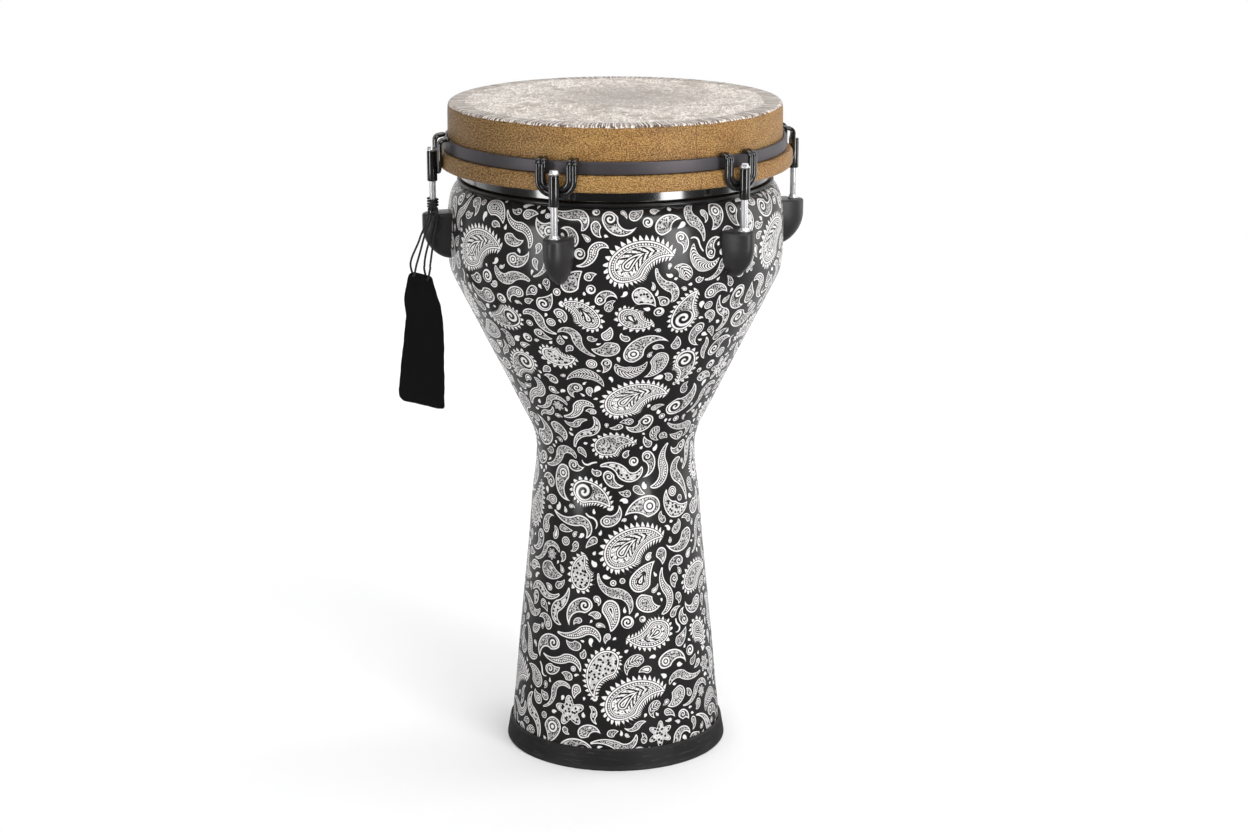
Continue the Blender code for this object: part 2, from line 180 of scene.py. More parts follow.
class Value:
    """A number in a shader, usable in ordinary formulas."""

    def __init__(self, shader, source):
        self.shader = shader
        self.source = source

    def op(self, kind, second=None, third=None, clamp=False):
        node = self.shader.node("ShaderNodeMath", operation=kind, use_clamp=clamp)
        for i, value in enumerate((self, second, third)):
            if value is not None:
                self.shader.wire(value, node.inputs[i])
        return Value(self.shader, node.outputs[0])

    def __add__(self, other): return self.op("ADD", other)
    def __sub__(self, other): return self.op("SUBTRACT", other)
    def __rsub__(self, other): return Value(self.shader, other).op("SUBTRACT", self)
    def __mul__(self, other): return self.op("MULTIPLY", other)
    def __rmul__(self, other): return self.op("MULTIPLY", other)
    def __truediv__(self, other): return self.op("DIVIDE", other)
    def __rtruediv__(self, other): return Value(self.shader, other).op("DIVIDE", self)
    def __neg__(self): return self.op("MULTIPLY", -1.0)
    def __pow__(self, other): return self.op("POWER", other)
    def abs(self): return self.op("ABSOLUTE")
    def sqrt(self): return self.op("SQRT")
    def frac(self): return self.op("FRACT")
    def cos(self): return self.op("COSINE")
    def min(self, other): return self.op("MINIMUM", other)
    def max(self, other): return self.op("MAXIMUM", other)
    def atan2(self, other): return self.op("ARCTAN2", other)
    def gt(self, other): return self.op("GREATER_THAN", other)
    def same(self, other): return self.op("COMPARE", float(other), 0.3)

    def times(self, factor, plus, clamp=False):
        return self.op("MULTIPLY_ADD", factor, plus, clamp)

    def above(self, edge, soft):
        """0 below edge, 1 above it, over a width of soft."""
        if isinstance(edge, Value):
            return (self - edge).times(1.0 / soft, plus=0.5, clamp=True)
        return self.times(1.0 / soft, plus=0.5 - edge / soft, clamp=True)

    def below(self, edge, soft):
        """1 below edge, 0 above it, over a width of soft."""
        if isinstance(edge, Value):
            return (edge - self).times(1.0 / soft, plus=0.5, clamp=True)
        return self.times(-1.0 / soft, plus=0.5 + edge / soft, clamp=True)


# ---------------------------------------------------------------------------------------
# geometry helpers
# ---------------------------------------------------------------------------------------
def new_object(name, mesh):
    ob = bpy.data.objects.new(name, mesh)
    bpy.context.scene.collection.objects.link(ob)
    return ob


def new_mesh(name, work):
    """A mesh filled from a bmesh, which is then freed."""
    mesh = bpy.data.meshes.new(name)
    work.to_mesh(mesh)
    work.free()
    return mesh


def solid(name, verts, faces):
    """An object whose faces all look outwards."""
    mesh = bpy.data.meshes.new(name)
    mesh.from_pydata(verts, [], faces)
    work = bmesh.new()
    work.from_mesh(mesh)
    bmesh.ops.recalc_face_normals(work, faces=work.faces)
    work.to_mesh(mesh)
    work.free()
    return new_object(name, mesh)


def smooth(ob, angle):
    """Smooth shading, sharp across edges bent more than angle degrees."""
    ob.data.shade_smooth()
    ob.data.set_sharp_from_angle(angle=math.radians(angle))
    return ob


def ring_faces(first, second, along=False):
    """Faces between two closed rings of vertex numbers; a ring may be one repeated pole.
    Each face starts off across the gap, or along the first ring."""
    faces = []
    for j in range(len(first)):
        k = (j + 1) % len(first)
        if along:
            corners = (first[j], first[k], second[k], second[j])
        else:
            corners = (first[j], second[j], second[k], first[k])
        face = tuple(dict.fromkeys(corners))
        if len(face) > 2:
            faces.append(face)
    return faces


def rings_of(count, size):
    """Vertex numbers of count rings of size vertices each."""
    return [list(range(i * size, (i + 1) * size)) for i in range(count)]


def rounded(corners, steps=5):
    """A closed polyline of (r, h, corner radius) with its corners rounded; 0 stays sharp."""
    out = []
    for i, (r, h, radius) in enumerate(corners):
        if radius <= 0:
            out.append((r, h))
            continue
        corner = Vector((r, h))
        back = Vector(corners[i - 1][:2]) - corner
        ahead = Vector(corners[(i + 1) % len(corners)][:2]) - corner
        back_length, ahead_length = back.length, ahead.length
        back.normalize()
        ahead.normalize()
        half = math.acos(max(-1, min(1, back.dot(ahead)))) / 2
        trim = min(radius / max(math.tan(half), 1e-6), back_length * 0.49, ahead_length * 0.49)
        real = trim * math.tan(half)
        centre = corner + (back + ahead).normalized() * (real / max(math.sin(half), 1e-6))
        start = corner + back * trim - centre
        end = corner + ahead * trim - centre
        first = math.atan2(start.y, start.x)
        sweep = (math.atan2(end.y, end.x) - first + math.pi) % TAU - math.pi
        for k in range(steps + 1):
            angle = first + sweep * k / steps
            out.append((centre.x + real * math.cos(angle), centre.y + real * math.sin(angle)))
    return out


def lathe(name, profile, segments, closed=True, shape=None, sharp=35.0):
    """A profile of (radius, height) turned round the Z axis.
    shape(row, angle) scales the radius, for sections that aren't round."""
    verts, rings = [], []
    angles = np.arange(segments) * TAU / segments
    for i, (radius, height) in enumerate(profile):
        if radius < 1e-6:
            rings.append([len(verts)] * segments)
            verts.append((0.0, 0.0, level(height)))
            continue
        rings.append(list(range(len(verts), len(verts) + segments)))
        for angle in angles:
            scale = shape(i, angle) if shape else 1.0
            verts.append(polar(radius * scale, angle, height))
    faces = []
    for first, second in zip(rings, rings[1:] + rings[:1] if closed else rings[1:]):
        faces += ring_faces(first, second)
    return smooth(solid(name, verts, faces), sharp)


def local_lathe(name, profile, segments, **options):
    """A lathe piece whose Z is measured from the floor, ready to be carried to a station."""
    ob = lathe(name, profile, segments, **options)
    ob.data.transform(Matrix.Translation((0, 0, -FLOOR)))
    return ob


def spline(points, count):
    """A smooth curve through points of any dimension: count samples, even by chord length."""
    knots = np.array(points, float)
    dist = np.r_[0, np.cumsum(np.linalg.norm(np.diff(knots, axis=0), axis=1))]
    slope = np.zeros_like(knots)
    slope[0] = (knots[1] - knots[0]) / (dist[1] - dist[0])
    slope[-1] = (knots[-1] - knots[-2]) / (dist[-1] - dist[-2])
    for i in range(1, len(knots) - 1):
        before, after = dist[i] - dist[i - 1], dist[i + 1] - dist[i]
        slope[i] = ((knots[i] - knots[i - 1]) / before * after
                    + (knots[i + 1] - knots[i]) / after * before) / (before + after)
    at = np.linspace(0, dist[-1], count)
    k = np.clip(np.searchsorted(dist, at, side="right") - 1, 0, len(knots) - 2)
    gap = (dist[k + 1] - dist[k])[:, None]
    u = ((at - dist[k])[:, None]) / gap
    return ((2 * u**3 - 3 * u**2 + 1) * knots[k] + (u**3 - 2 * u**2 + u) * gap * slope[k]
            + (-2 * u**3 + 3 * u**2) * knots[k + 1] + (u**3 - u**2) * gap * slope[k + 1])


def tangents(path):
    along = np.gradient(path, axis=0)
    along /= np.linalg.norm(along, axis=1)[:, None]
    return along


ROPE_STRANDS = 3
ROPE_PITCH = 5.0
ROPE_GROOVE = 0.17                    # part of the radius


def rope(name, path, radius, around=15):
    """A twisted cord: a lobed section swept along a path of world points in metres."""
    path = np.array(path, float)
    along = tangents(path)
    upright = [0.0, 0.0, 1.0] if abs(along[0][2]) < 0.9 else [1.0, 0.0, 0.0]
    side = np.cross(along[0], np.array(upright))
    side /= np.linalg.norm(side)
    verts, faces, length = [], [], 0.0
    for i in range(len(path)):
        if i:
            length += np.linalg.norm(path[i] - path[i - 1])
        side = side - along[i] * np.dot(side, along[i])
        side /= np.linalg.norm(side)
        other = np.cross(along[i], side)
        twist = TAU * length / (ROPE_PITCH * MM)
        for k in range(around):
            angle = TAU * k / around
            lobe = abs(math.cos(ROPE_STRANDS / 2 * (angle - twist))) ** 0.7
            r = radius * MM * (1 - ROPE_GROOVE + ROPE_GROOVE * lobe)
            verts.append(tuple(path[i] + r * (math.cos(angle) * side + math.sin(angle) * other)))
    rings = rings_of(len(path), around)
    for first, second in zip(rings, rings[1:]):
        faces += ring_faces(first, second)
    for i, ahead in ((0, False), (len(path) - 1, True)):
        tip = path[i] + (along[i] if ahead else -along[i]) * radius * MM * 0.5
        verts.append(tuple(tip))
        for k in range(around):
            start, end = rings[i][k], rings[i][(k + 1) % around]
            centre = len(verts) - 1
            faces.append((start, end, centre) if ahead else (end, start, centre))
    ob = solid(name, verts, faces)
    ob.data.shade_smooth()
    return ob


def box_mesh(name, x_range, y_range, z_range):
    work = bmesh.new()
    ranges = (x_range, y_range, z_range)
    centre = [(low + high) / 2 * MM for low, high in ranges]
    size = [(high - low) * MM for low, high in ranges]
    bmesh.ops.create_cube(
        work, size=1.0, matrix=Matrix.Translation(centre) @ Matrix.Diagonal((*size, 1.0)))
    return new_object(name, new_mesh(name, work))


def cut(ob, other, how="DIFFERENCE"):
    """Boolean ob with other, which is used up."""
    boolean = ob.modifiers.new("cut", "BOOLEAN")
    boolean.operation = how
    boolean.solver = "EXACT"
    boolean.object = other
    bpy.context.view_layer.update()
    graph = bpy.context.evaluated_depsgraph_get()
    mesh = bpy.data.meshes.new_from_object(ob.evaluated_get(graph))
    mesh.name = ob.name
    ob.modifiers.clear()
    ob.data = mesh
    bpy.data.objects.remove(other)


def join(name, *parts):
    work = bmesh.new()
    for part in parts:
        work.from_mesh(part.data)
    mesh = new_mesh(name, work)
    for part in parts:
        bpy.data.objects.remove(part)
    return new_object(name, mesh)


def finish_piece(ob, body, material, node):
    """Give a piece its material, the body it rides on and the CAD node it replaces."""
    ob.data.materials.clear()
    ob.data.materials.append(material)
    if body:
        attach(ob, body)
    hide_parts(node)


# ---------------------------------------------------------------------------------------
# the shell's outline, unrolled: a place on it is an azimuth and a length down the profile
# ---------------------------------------------------------------------------------------
# (radius, height), outside from the top edge to the foot
OUTER = [
    (140.0, 536.6), (143.4, 535.4), (146.4, 532.9), (149.2, 528.2), (151.2, 521.8),
    (152.6, 513.5), (153.3, 503.0), (153.55, 490.0), (153.4, 476.0), (152.6, 464.5),
    (151.1, 456.8), (148.3, 450.0), (140.4, 434.0), (124.5, 402.0), (108.5, 369.8),
    (92.6, 337.6), (84.6, 321.5), (79.6, 311.6), (76.4, 303.0), (74.6, 295.5),
    (73.8, 288.0), (74.0, 279.0), (75.0, 266.0), (77.2, 250.0), (81.6, 200.0),
    (86.3, 150.0), (91.2, 100.0), (95.6, 50.0), (98.4, 20.5), (99.2, 4.3)]
# (radius, height), inside from the foot to the top edge
INNER = [
    (92.2, 4.3), (79.3, 150.0), (66.8, 284.0), (69.6, 304.0), (141.2, 451.0),
    (146.4, 468.0), (146.2, 508.0), (141.0, 524.0), (132.6, 529.5), (132.6, 536.4)]
CURVE = spline(OUTER, 1200)
ARC = np.r_[0, np.cumsum(np.linalg.norm(np.diff(CURVE, axis=0), axis=1))]
LENGTH = float(ARC[-1])


def radius_at(down):
    return np.interp(down, ARC, CURVE[:, 0])


def height_at(down):
    return np.interp(down, ARC, CURVE[:, 1])


# ---------------------------------------------------------------------------------------
# the shell's print: motifs with a spine of two arcs that meet at the motif's origin
# ---------------------------------------------------------------------------------------
# tip_bend, head_bend: curvature of the arcs towards +y (tip) and -y (head), 1/mm
# radius: half width at the origin; tip, head: lengths of the arcs
# head_width: half width at the head's end as a part of radius; taper: exponent towards the tip
# lobing, lobes: depth (part of radius) and number of the ripples round the outline
SHAPE = ("tip_bend", "head_bend", "radius", "tip", "head", "head_width", "taper", "lobing",
         "lobes")
PLAIN = dict(tip_bend=0.0, head_bend=0.0, radius=1.0, tip=0.0, head=0.0, head_width=1.0,
             taper=1.0, lobing=0.0, lobes=0.0)
CELL = 0.42                      # a cell reaches this far past its motif's outline
MIN_BEND = 0.0015                # straight arcs are bent this little
# how a motif is filled, as print_material draws it
(PEBBLED, EDGED, LINED, SOLID, CORED, VEINED, BEADED, RINGED, SPIRAL, RIBBED, GRAND, EYED, CURLED,
 FLOWER, SPOTTED) = range(15)


def turned(x, y, turn):
    cosine, sine = np.cos(turn), np.sin(turn)
    return x * cosine - y * sine, x * sine + y * cosine


def wrapped(angle):
    return (angle + math.pi) % TAU - math.pi


def spine(motif, at):
    """Points, normals and bend signs at arc lengths at (N,K); motif: a dict of (N,1) arrays."""
    bend = np.where(at > 0, motif["tip_bend"], motif["head_bend"])
    sign = np.where(bend >= 0, 1.0, -1.0)
    arc = 1.0 / np.maximum(np.abs(bend), MIN_BEND)
    angle = np.abs(at) / arc
    up = np.where(at > 0, 1.0, -1.0)
    x = sign * arc * (1 - np.cos(angle))
    y = up * arc * np.sin(angle)
    return x, y, sign * np.cos(angle), -up * np.sin(angle), sign


def half_width(motif, at):
    to_tip = np.maximum(at, 0) / np.maximum(motif["tip"], 0.001)
    to_head = np.maximum(-at, 0) / np.maximum(motif["head"], 0.001)
    narrow = np.maximum(1 - np.minimum(to_tip, 1.0) ** 1.35, 0.0) ** motif["taper"]
    return motif["radius"] * narrow * (1 + (motif["head_width"] - 1) * np.minimum(to_head, 1.0))


def field(motif, x, y):
    """Distance-like value, negative inside the motif."""
    up = y > 0
    bend = np.where(up, motif["tip_bend"], motif["head_bend"])
    sign = np.where(bend >= 0, 1.0, -1.0)
    arc = 1.0 / np.maximum(np.abs(bend), MIN_BEND)
    dx = arc - sign * x
    along = arc * np.arctan2(np.abs(y), dx) * np.where(up, 1.0, -1.0)
    aside = arc - np.sqrt(dx * dx + y * y)
    nearest = np.clip(along, -motif["head"], motif["tip"])
    past = along - nearest
    ripple = np.cos(motif["lobes"] * np.arctan2(past, aside))
    width = half_width(motif, nearest) + motif["lobing"] * motif["radius"] * ripple
    return np.sqrt(aside * aside + past * past) - width


def outline(motif, offset):
    """Closed outlines (N,K,2) an offset outside the motifs."""
    span = float(np.max(motif["head"] + motif["tip"]))
    widest = float(np.max(motif["radius"]))
    if span < 0.01:                                     # discs, rosettes and stars
        lobed = float(np.max(np.abs(motif["lobing"]))) > 0
        count = 40 if lobed else int(max(9, min(24, widest * 3)))
        angle = np.linspace(0, TAU, count, endpoint=False)[None, :]
        ripple = np.cos(motif["lobes"] * angle)
        r = motif["radius"] * (1 + motif["lobing"] * ripple) + offset
        return np.stack([r * np.cos(angle), r * np.sin(angle)], -1)
    count = int(max(4, math.ceil(span / 2.6)))
    share = np.linspace(0, 1, count)[None, :]
    at = -motif["head"] + (motif["head"] + motif["tip"]) * share
    x, y, nx, ny, sign = spine(motif, at)
    width = half_width(motif, at) + offset
    # a normal towards the centre of the bend flips where the bend changes hands: keep one side
    side = np.where(motif["tip_bend"] >= 0, 1.0, -1.0)
    nx, ny = nx * sign * side, ny * sign * side
    left = np.stack([x + nx * width, y + ny * width], -1)
    right = np.stack([x - nx * width, y - ny * width], -1)
    # round end at the head: (tx, ty) runs along the spine, out of the head
    steps = int(max(4, min(9, round(widest * 0.9 + 3))))
    angle = np.linspace(0, math.pi, steps + 2)[1:-1][None, :]
    head_nx, head_ny = nx[:, :1], ny[:, :1]
    tx, ty = -head_ny, head_nx
    near_x, near_y, *_ = spine(motif, at[:, :1] + 0.05)
    facing = np.sign((near_x - x[:, :1]) * tx + (near_y - y[:, :1]) * ty)
    tx, ty = tx * -facing, ty * -facing
    head_x = x[:, :1] + width[:, :1] * (-np.cos(angle) * head_nx + np.sin(angle) * tx)
    head_y = y[:, :1] + width[:, :1] * (-np.cos(angle) * head_ny + np.sin(angle) * ty)
    head = np.stack([head_x, head_y], -1)
    # one point at the narrow tip
    tx, ty = -ny[:, -1:], nx[:, -1:]
    near_x, near_y, *_ = spine(motif, at[:, -1:] - 0.05)
    facing = np.sign((x[:, -1:] - near_x) * tx + (y[:, -1:] - near_y) * ty)
    tip = np.stack([x[:, -1:] + facing * tx * width[:, -1:],
                    y[:, -1:] + facing * ty * width[:, -1:]], -1)
    return np.concatenate([right[:, ::-1], head, left, tip], 1)


def as_batch(motif):
    return {key: np.full((1, 1), float(motif[key])) for key in SHAPE}


class Layout:
    """Motifs placed on the unrolled shell without touching.

    A place is (angle, down, turn); a look is (fill, seed, fringe, edge line width)."""

    def __init__(self, seed):
        self.columns = 1500
        self.rows = int(LENGTH / 0.65)
        self.taken = np.zeros((self.rows, self.columns), bool)
        self.rng = np.random.default_rng(seed)
        self.items = []
        self.downs = (np.arange(self.rows) + 0.5) * LENGTH / self.rows
        self.radii = radius_at(self.downs)
        self.angles = -math.pi + (np.arange(self.columns) + 0.5) * TAU / self.columns

    def on_shell(self, x, y, angle, down, turn):
        """Angle and down of points in a motif's own axes."""
        x, y = turned(x, y, turn)
        down = down - y
        return angle + x / radius_at(np.clip(down, 0, LENGTH)), down

    def blocked(self, angle, down):
        outside = ((angle < -math.pi + 0.004) | (angle > math.pi - 0.004)
                   | (down < 0.4) | (down > LENGTH - 0.4))
        i = np.clip((down / LENGTH * self.rows).astype(int), 0, self.rows - 1)
        j = np.clip(((angle + math.pi) / TAU * self.columns).astype(int), 0, self.columns - 1)
        return outside | self.taken[i, j]

    def mark(self, motif, place, offset, reach):
        """Take the cells within offset of a motif, looking no further than reach."""
        angle, down, turn = place
        i0 = int(max(0, (down - reach) / LENGTH * self.rows))
        i1 = int(min(self.rows, (down + reach) / LENGTH * self.rows + 2))
        spread = reach / float(self.radii[max(0, i0 - 1):i1 + 1].min())
        j0 = int(max(0, (angle - spread + math.pi) / TAU * self.columns))
        j1 = int(min(self.columns, (angle + spread + math.pi) / TAU * self.columns + 2))
        downs, angles = self.downs[i0:i1, None], self.angles[None, j0:j1]
        across = (angles - angle) * self.radii[i0:i1, None]
        x, y = turned(across, (down - downs) + 0 * angles, -turn)
        self.taken[i0:i1, j0:j1] |= field(motif, x, y) < offset

    def add(self, motif, place, look, gap):
        motif = {key: float(motif[key]) for key in SHAPE}
        offset = CELL + look[2]
        points = outline(as_batch(motif), offset)[0]
        self.mark(motif, place, offset + gap, float(np.abs(points).max()) * 1.3 + 2.0)
        self.items.append((motif, place, look, points))

    def fits(self, motif, place, fringe):
        points = outline(as_batch(motif), CELL + fringe)[0]
        return not self.blocked(*self.on_shell(points[..., 0], points[..., 1], *place)).any()

    def put(self, shape, place, look, gap):
        """Add one motif if there is room; says whether it was added."""
        motif = {**PLAIN, **shape}
        room = self.fits(motif, place, look[2])
        if room:
            self.add(motif, place, look, gap)
        return room

    def scatter(self, make, batches, tries, gap):
        """Try random places, tries at a time; make(rng, count) gives motifs and looks."""
        rng = self.rng
        for _ in range(batches):
            free_i, free_j = np.nonzero(~self.taken[::3, ::3])
            if len(free_i) == 0:
                return
            # even per area, so the narrow waist isn't crowded
            weight = self.radii[free_i * 3]
            pick = rng.choice(len(free_i), tries, p=weight / weight.sum())
            angle = self.angles[np.minimum(free_j[pick] * 3, self.columns - 1)][:, None]
            down = self.downs[np.minimum(free_i[pick] * 3, self.rows - 1)][:, None]
            turn = rng.uniform(-math.pi, math.pi, (tries, 1))
            motif, looks = make(rng, tries)
            fringe = np.array([look[2] for look in looks])[:, None]
            points = outline(motif, CELL + fringe)
            # centre the motif on the picked point
            middle = points.mean(1, keepdims=True)
            x, y = turned(middle[..., 0], middle[..., 1], turn)
            angle = angle - x / radius_at(down)
            down = np.clip(down + y, 1.0, LENGTH - 1.0)
            on_shell = self.on_shell(points[..., 0], points[..., 1], angle, down, turn)
            bad = self.blocked(*on_shell).any(1)
            # along the spine too
            length = motif["head"] + motif["tip"]
            along = -motif["head"] + length * np.linspace(0, 1, 7)[None, :]
            x, y, *_ = spine(motif, along)
            bad |= self.blocked(*self.on_shell(x, y, angle, down, turn)).any(1)
            # the inner side of a bend must not fold over
            width = motif["radius"] * np.maximum(1.0, motif["head_width"]) + CELL + fringe
            bend = np.maximum(np.abs(motif["tip_bend"]), np.abs(motif["head_bend"]))
            bad |= (bend * width > 0.97).any(1) & (length > 0.01).any(1)
            for i in np.nonzero(~bad)[0]:
                one = {key: motif[key][i, 0] for key in SHAPE}
                place = (angle[i, 0], down[i, 0], turn[i, 0])
                if (self.fits(one, place, looks[i][2])
                        and not self.blocked(*self.on_shell(x[i], y[i], *place)).any()):
                    self.add(one, place, looks[i], gap)


def random_motifs(rng, count, **shape):
    """(count,1) arrays for each shape value: a pair is a range, a number is fixed."""
    out = {}
    for key in SHAPE:
        value = shape.get(key, PLAIN[key])
        if isinstance(value, tuple):
            out[key] = rng.uniform(value[0], value[1], (count, 1))
        else:
            out[key] = np.full((count, 1), float(value))
    return out


def random_looks(rng, count, fills, line, fringe=0.0):
    return [(float(rng.choice(fills)), float(rng.uniform(0, 100)), fringe,
             float(rng.uniform(*line))) for _ in range(count)]


def drop(radius, tail, bend, fills, line, taper=(0.75, 1.15), fringe=0.0):
    """A drop or paisley: round head, tail of so many head radii, bent by bend radians."""
    def make(rng, count):
        motif = random_motifs(rng, count, radius=radius, taper=taper)
        motif["tip"] = motif["radius"] * rng.uniform(tail[0], tail[1], (count, 1))
        angle = rng.uniform(bend[0], bend[1], (count, 1)) * rng.choice([-1.0, 1.0], (count, 1))
        motif["tip_bend"] = angle / motif["tip"]
        motif["head_bend"] = motif["tip_bend"].copy()
        return motif, random_looks(rng, count, fills, line, fringe)
    return make


def bow(radius, head, tip, tip_angle, head_angle, head_width, fills, line=(0.6, 0.9),
        taper=(0.6, 0.9), same=False):
    """A crescent, a leaf or an S: two arms from the middle, each bent by its own angle.
    same gives both curvatures one sign."""
    def make(rng, count):
        motif = random_motifs(rng, count, radius=radius, taper=taper, head_width=head_width)
        motif["head"] = rng.uniform(head[0], head[1], (count, 1))
        motif["tip"] = rng.uniform(tip[0], tip[1], (count, 1))
        hand = rng.choice([-1.0, 1.0], (count, 1))
        first = rng.uniform(tip_angle[0], tip_angle[1], (count, 1))
        second = rng.uniform(head_angle[0], head_angle[1], (count, 1))
        motif["tip_bend"] = hand * first / motif["tip"]
        motif["head_bend"] = (1.0 if same else -1.0) * hand * second / motif["head"]
        return motif, random_looks(rng, count, fills, line)
    return make


def disc(radius, fills, line, lobing=0.0, lobes=()):
    """A disc, or a rosette with one of the numbers of lobes."""
    def make(rng, count):
        motif = random_motifs(rng, count, radius=radius, lobing=lobing)
        if lobes:
            motif["lobes"] = rng.choice(list(lobes), (count, 1)).astype(float)
        return motif, random_looks(rng, count, fills, line)
    return make


# motif, batches, tries in a batch, gap to its neighbours; large ones first.
# drop: radius, tail, bend, fills, line; bow: radius, head, tip, tip angle, head angle,
# head width, fills, line; disc: radius, fills, line. Pairs are ranges.
SCATTER = [
    (drop((9.0, 12.5), (2.5, 3.2), (0.9, 1.8), [BEADED, CURLED, GRAND, EDGED, SPOTTED],
          (1.2, 1.6), fringe=4.0), 4, 60, 0.9),
    (bow((4.2, 5.6), (20, 28), (18, 28), (1.9, 2.8), (0.8, 1.6), (0.15, 0.3),
         [EDGED, SPOTTED, BEADED, PEBBLED], (1.0, 1.3), taper=(0.45, 0.7)), 5, 90, 0.9),
    (disc((9.5, 13.0), [SPOTTED, BEADED, SPOTTED], (1.0, 1.3), lobing=0.30, lobes=(5, 6)),
     3, 60, 0.9),
    (drop((7.0, 9.5), (3.2, 4.6), (1.9, 2.7), [CURLED, EYED, CURLED, EDGED],
          (1.2, 1.5), taper=(0.9, 1.2)), 7, 160, 0.85),
    (bow((6.0, 8.0), (17, 23), (18, 25), (1.0, 1.5), (1.0, 1.5), (0.06, 0.1),
         [SPOTTED, RIBBED, EDGED, VEINED], (1.0, 1.3), same=True), 4, 90, 0.85),
    (drop((7.4, 10.6), (1.9, 2.9), (0.6, 1.7),
          [EYED, CURLED, EDGED, SPOTTED, BEADED, EYED, CURLED, GRAND], (1.1, 1.5)),
     10, 240, 0.85),
    (disc((6.5, 8.8), [BEADED, FLOWER, SPIRAL], (0.9, 1.2), lobing=0.22, lobes=(5, 6, 7, 8)),
     3, 120, 0.85),
    (drop((4.8, 6.8), (3.0, 5.0), (1.8, 2.7), [CURLED, EYED, EDGED, CURLED, VEINED],
          (1.0, 1.3), taper=(0.9, 1.2)), 14, 320, 0.8),
    (disc((4.2, 6.0), [SPIRAL, RINGED, BEADED, SPIRAL], (0.9, 1.2)), 3, 150, 0.8),
    (drop((4.6, 7.2), (1.9, 3.0), (0.5, 1.8),
          [EDGED, EYED, CURLED, LINED, SPOTTED, BEADED, VEINED, EDGED, CURLED], (0.95, 1.3)),
     20, 420, 0.8),
    (bow((2.6, 3.6), (9, 16), (10, 17), (0.9, 2.2), (0.6, 1.6), (0.1, 0.3),
         [SPOTTED, VEINED, EDGED, EDGED], (0.8, 1.0), taper=(0.5, 0.8)), 12, 320, 0.75),
    (drop((3.0, 4.8), (1.8, 3.6), (0.4, 1.9),
          [EDGED, CURLED, CORED, EDGED, EYED, VEINED, EDGED], (0.8, 1.05)), 30, 600, 0.75),
    (disc((2.4, 3.6), [CORED, RINGED, EDGED, SPIRAL], (0.7, 0.9)), 3, 260, 0.8),
    (bow((0.75, 1.05), (6, 12), (8, 15), (1.6, 3.0), (0.3, 1.3), (0.7, 1.0), [SOLID],
         taper=(0.3, 0.5)), 10, 500, 0.75),
    (drop((1.7, 2.8), (1.8, 3.6), (0.3, 1.6), [SOLID, CORED, CORED, SOLID], (0.5, 0.7)),
     14, 600, 0.8),
    (drop((1.1, 1.6), (1.6, 3.2), (0.1, 1.2), [SOLID], (0.7, 1.0)), 4, 600, 0.9)]

# the large repeat: a fringed paisley with a curl in its bend, and an S with a rosette
REPEAT_HEIGHTS = (488.0, 352.0, 205.0, 62.0)
REPEAT_ROUND = 168.0
REPEAT_START = math.radians(4.0)
PAISLEY = dict(radius=15.5, tip=47.0, tip_bend=1 / 30.0, head_bend=1 / 30.0, taper=0.95)
CURL = dict(radius=6.6)
CURL_AT = (19.5, 32.0)                # in the paisley's own axes
S_STROKE = dict(radius=3.0, tip=25.0, head=22.0, tip_bend=1 / 10.0, head_bend=-1 / 17.0,
                head_width=0.25, taper=0.35)
ROSETTE = dict(radius=4.6, lobing=0.2, lobes=7.0)
ROSETTE_AT = (10.0, 0.0)              # in the S stroke's own axes


def put_repeat(layout, angle, down, ring_radius, spacing):
    """One paisley and, half a spacing on, one S stroke."""
    rng = layout.rng
    turn = math.radians(-32 + rng.uniform(-4, 4))
    layout.put(PAISLEY, (angle, down, turn), (GRAND, rng.uniform(0, 100), 5.2, 1.5), gap=0.9)
    x, y = turned(*CURL_AT, turn)
    layout.put(CURL, (angle + x / ring_radius, down - y, rng.uniform(-3, 3)),
               (SPIRAL, rng.uniform(0, 100), 0.0, 0.9), gap=0.7)
    angle = wrapped(angle + spacing / 2 + 0.06)
    if abs(angle) > math.pi - 0.3:
        return
    turn = math.radians(rng.uniform(-25, 10))
    down = down + rng.uniform(-6, 6)
    if layout.put(S_STROKE, (angle, down, turn), (PEBBLED, rng.uniform(0, 100), 0.0, 1.0),
                  gap=0.7):
        x, y = turned(*ROSETTE_AT, turn)
        layout.put(ROSETTE, (angle + x / ring_radius, down - y, 0.3),
                   (BEADED, rng.uniform(0, 100), 0.0, 0.6), gap=0.5)


def lay_out():
    layout = Layout(seed=11)
    for height in REPEAT_HEIGHTS:
        down = float(np.interp(-height, -CURVE[:, 1], ARC))
        ring_radius = float(radius_at(down))
        count = max(2, int(round(TAU * ring_radius / REPEAT_ROUND)))
        for i in range(count):
            angle = wrapped(REPEAT_START + TAU * i / count)
            if abs(angle) <= math.pi - 0.33:
                put_repeat(layout, angle, down, ring_radius, TAU / count)
    for row in SCATTER:
        layout.scatter(*row)
    return layout


# ---------------------------------------------------------------------------------------
# the shell's mesh: motif outlines and a loose lattice, triangulated flat and wrapped round
# ---------------------------------------------------------------------------------------
PLANE = 110.0                         # the flat sheet's x for one radian; its y is down
HALF = math.pi * PLANE
NEAR = 2.0                            # lattice points keep about this far from outlines
ROUND, DOWN = 180, 90                 # steps along the sheet's edges
EDGE_ANGLES = -math.pi + TAU * np.arange(ROUND + 1) / ROUND


def near_cell(x, down):
    return int(down / NEAR), int((x + HALF) / NEAR)


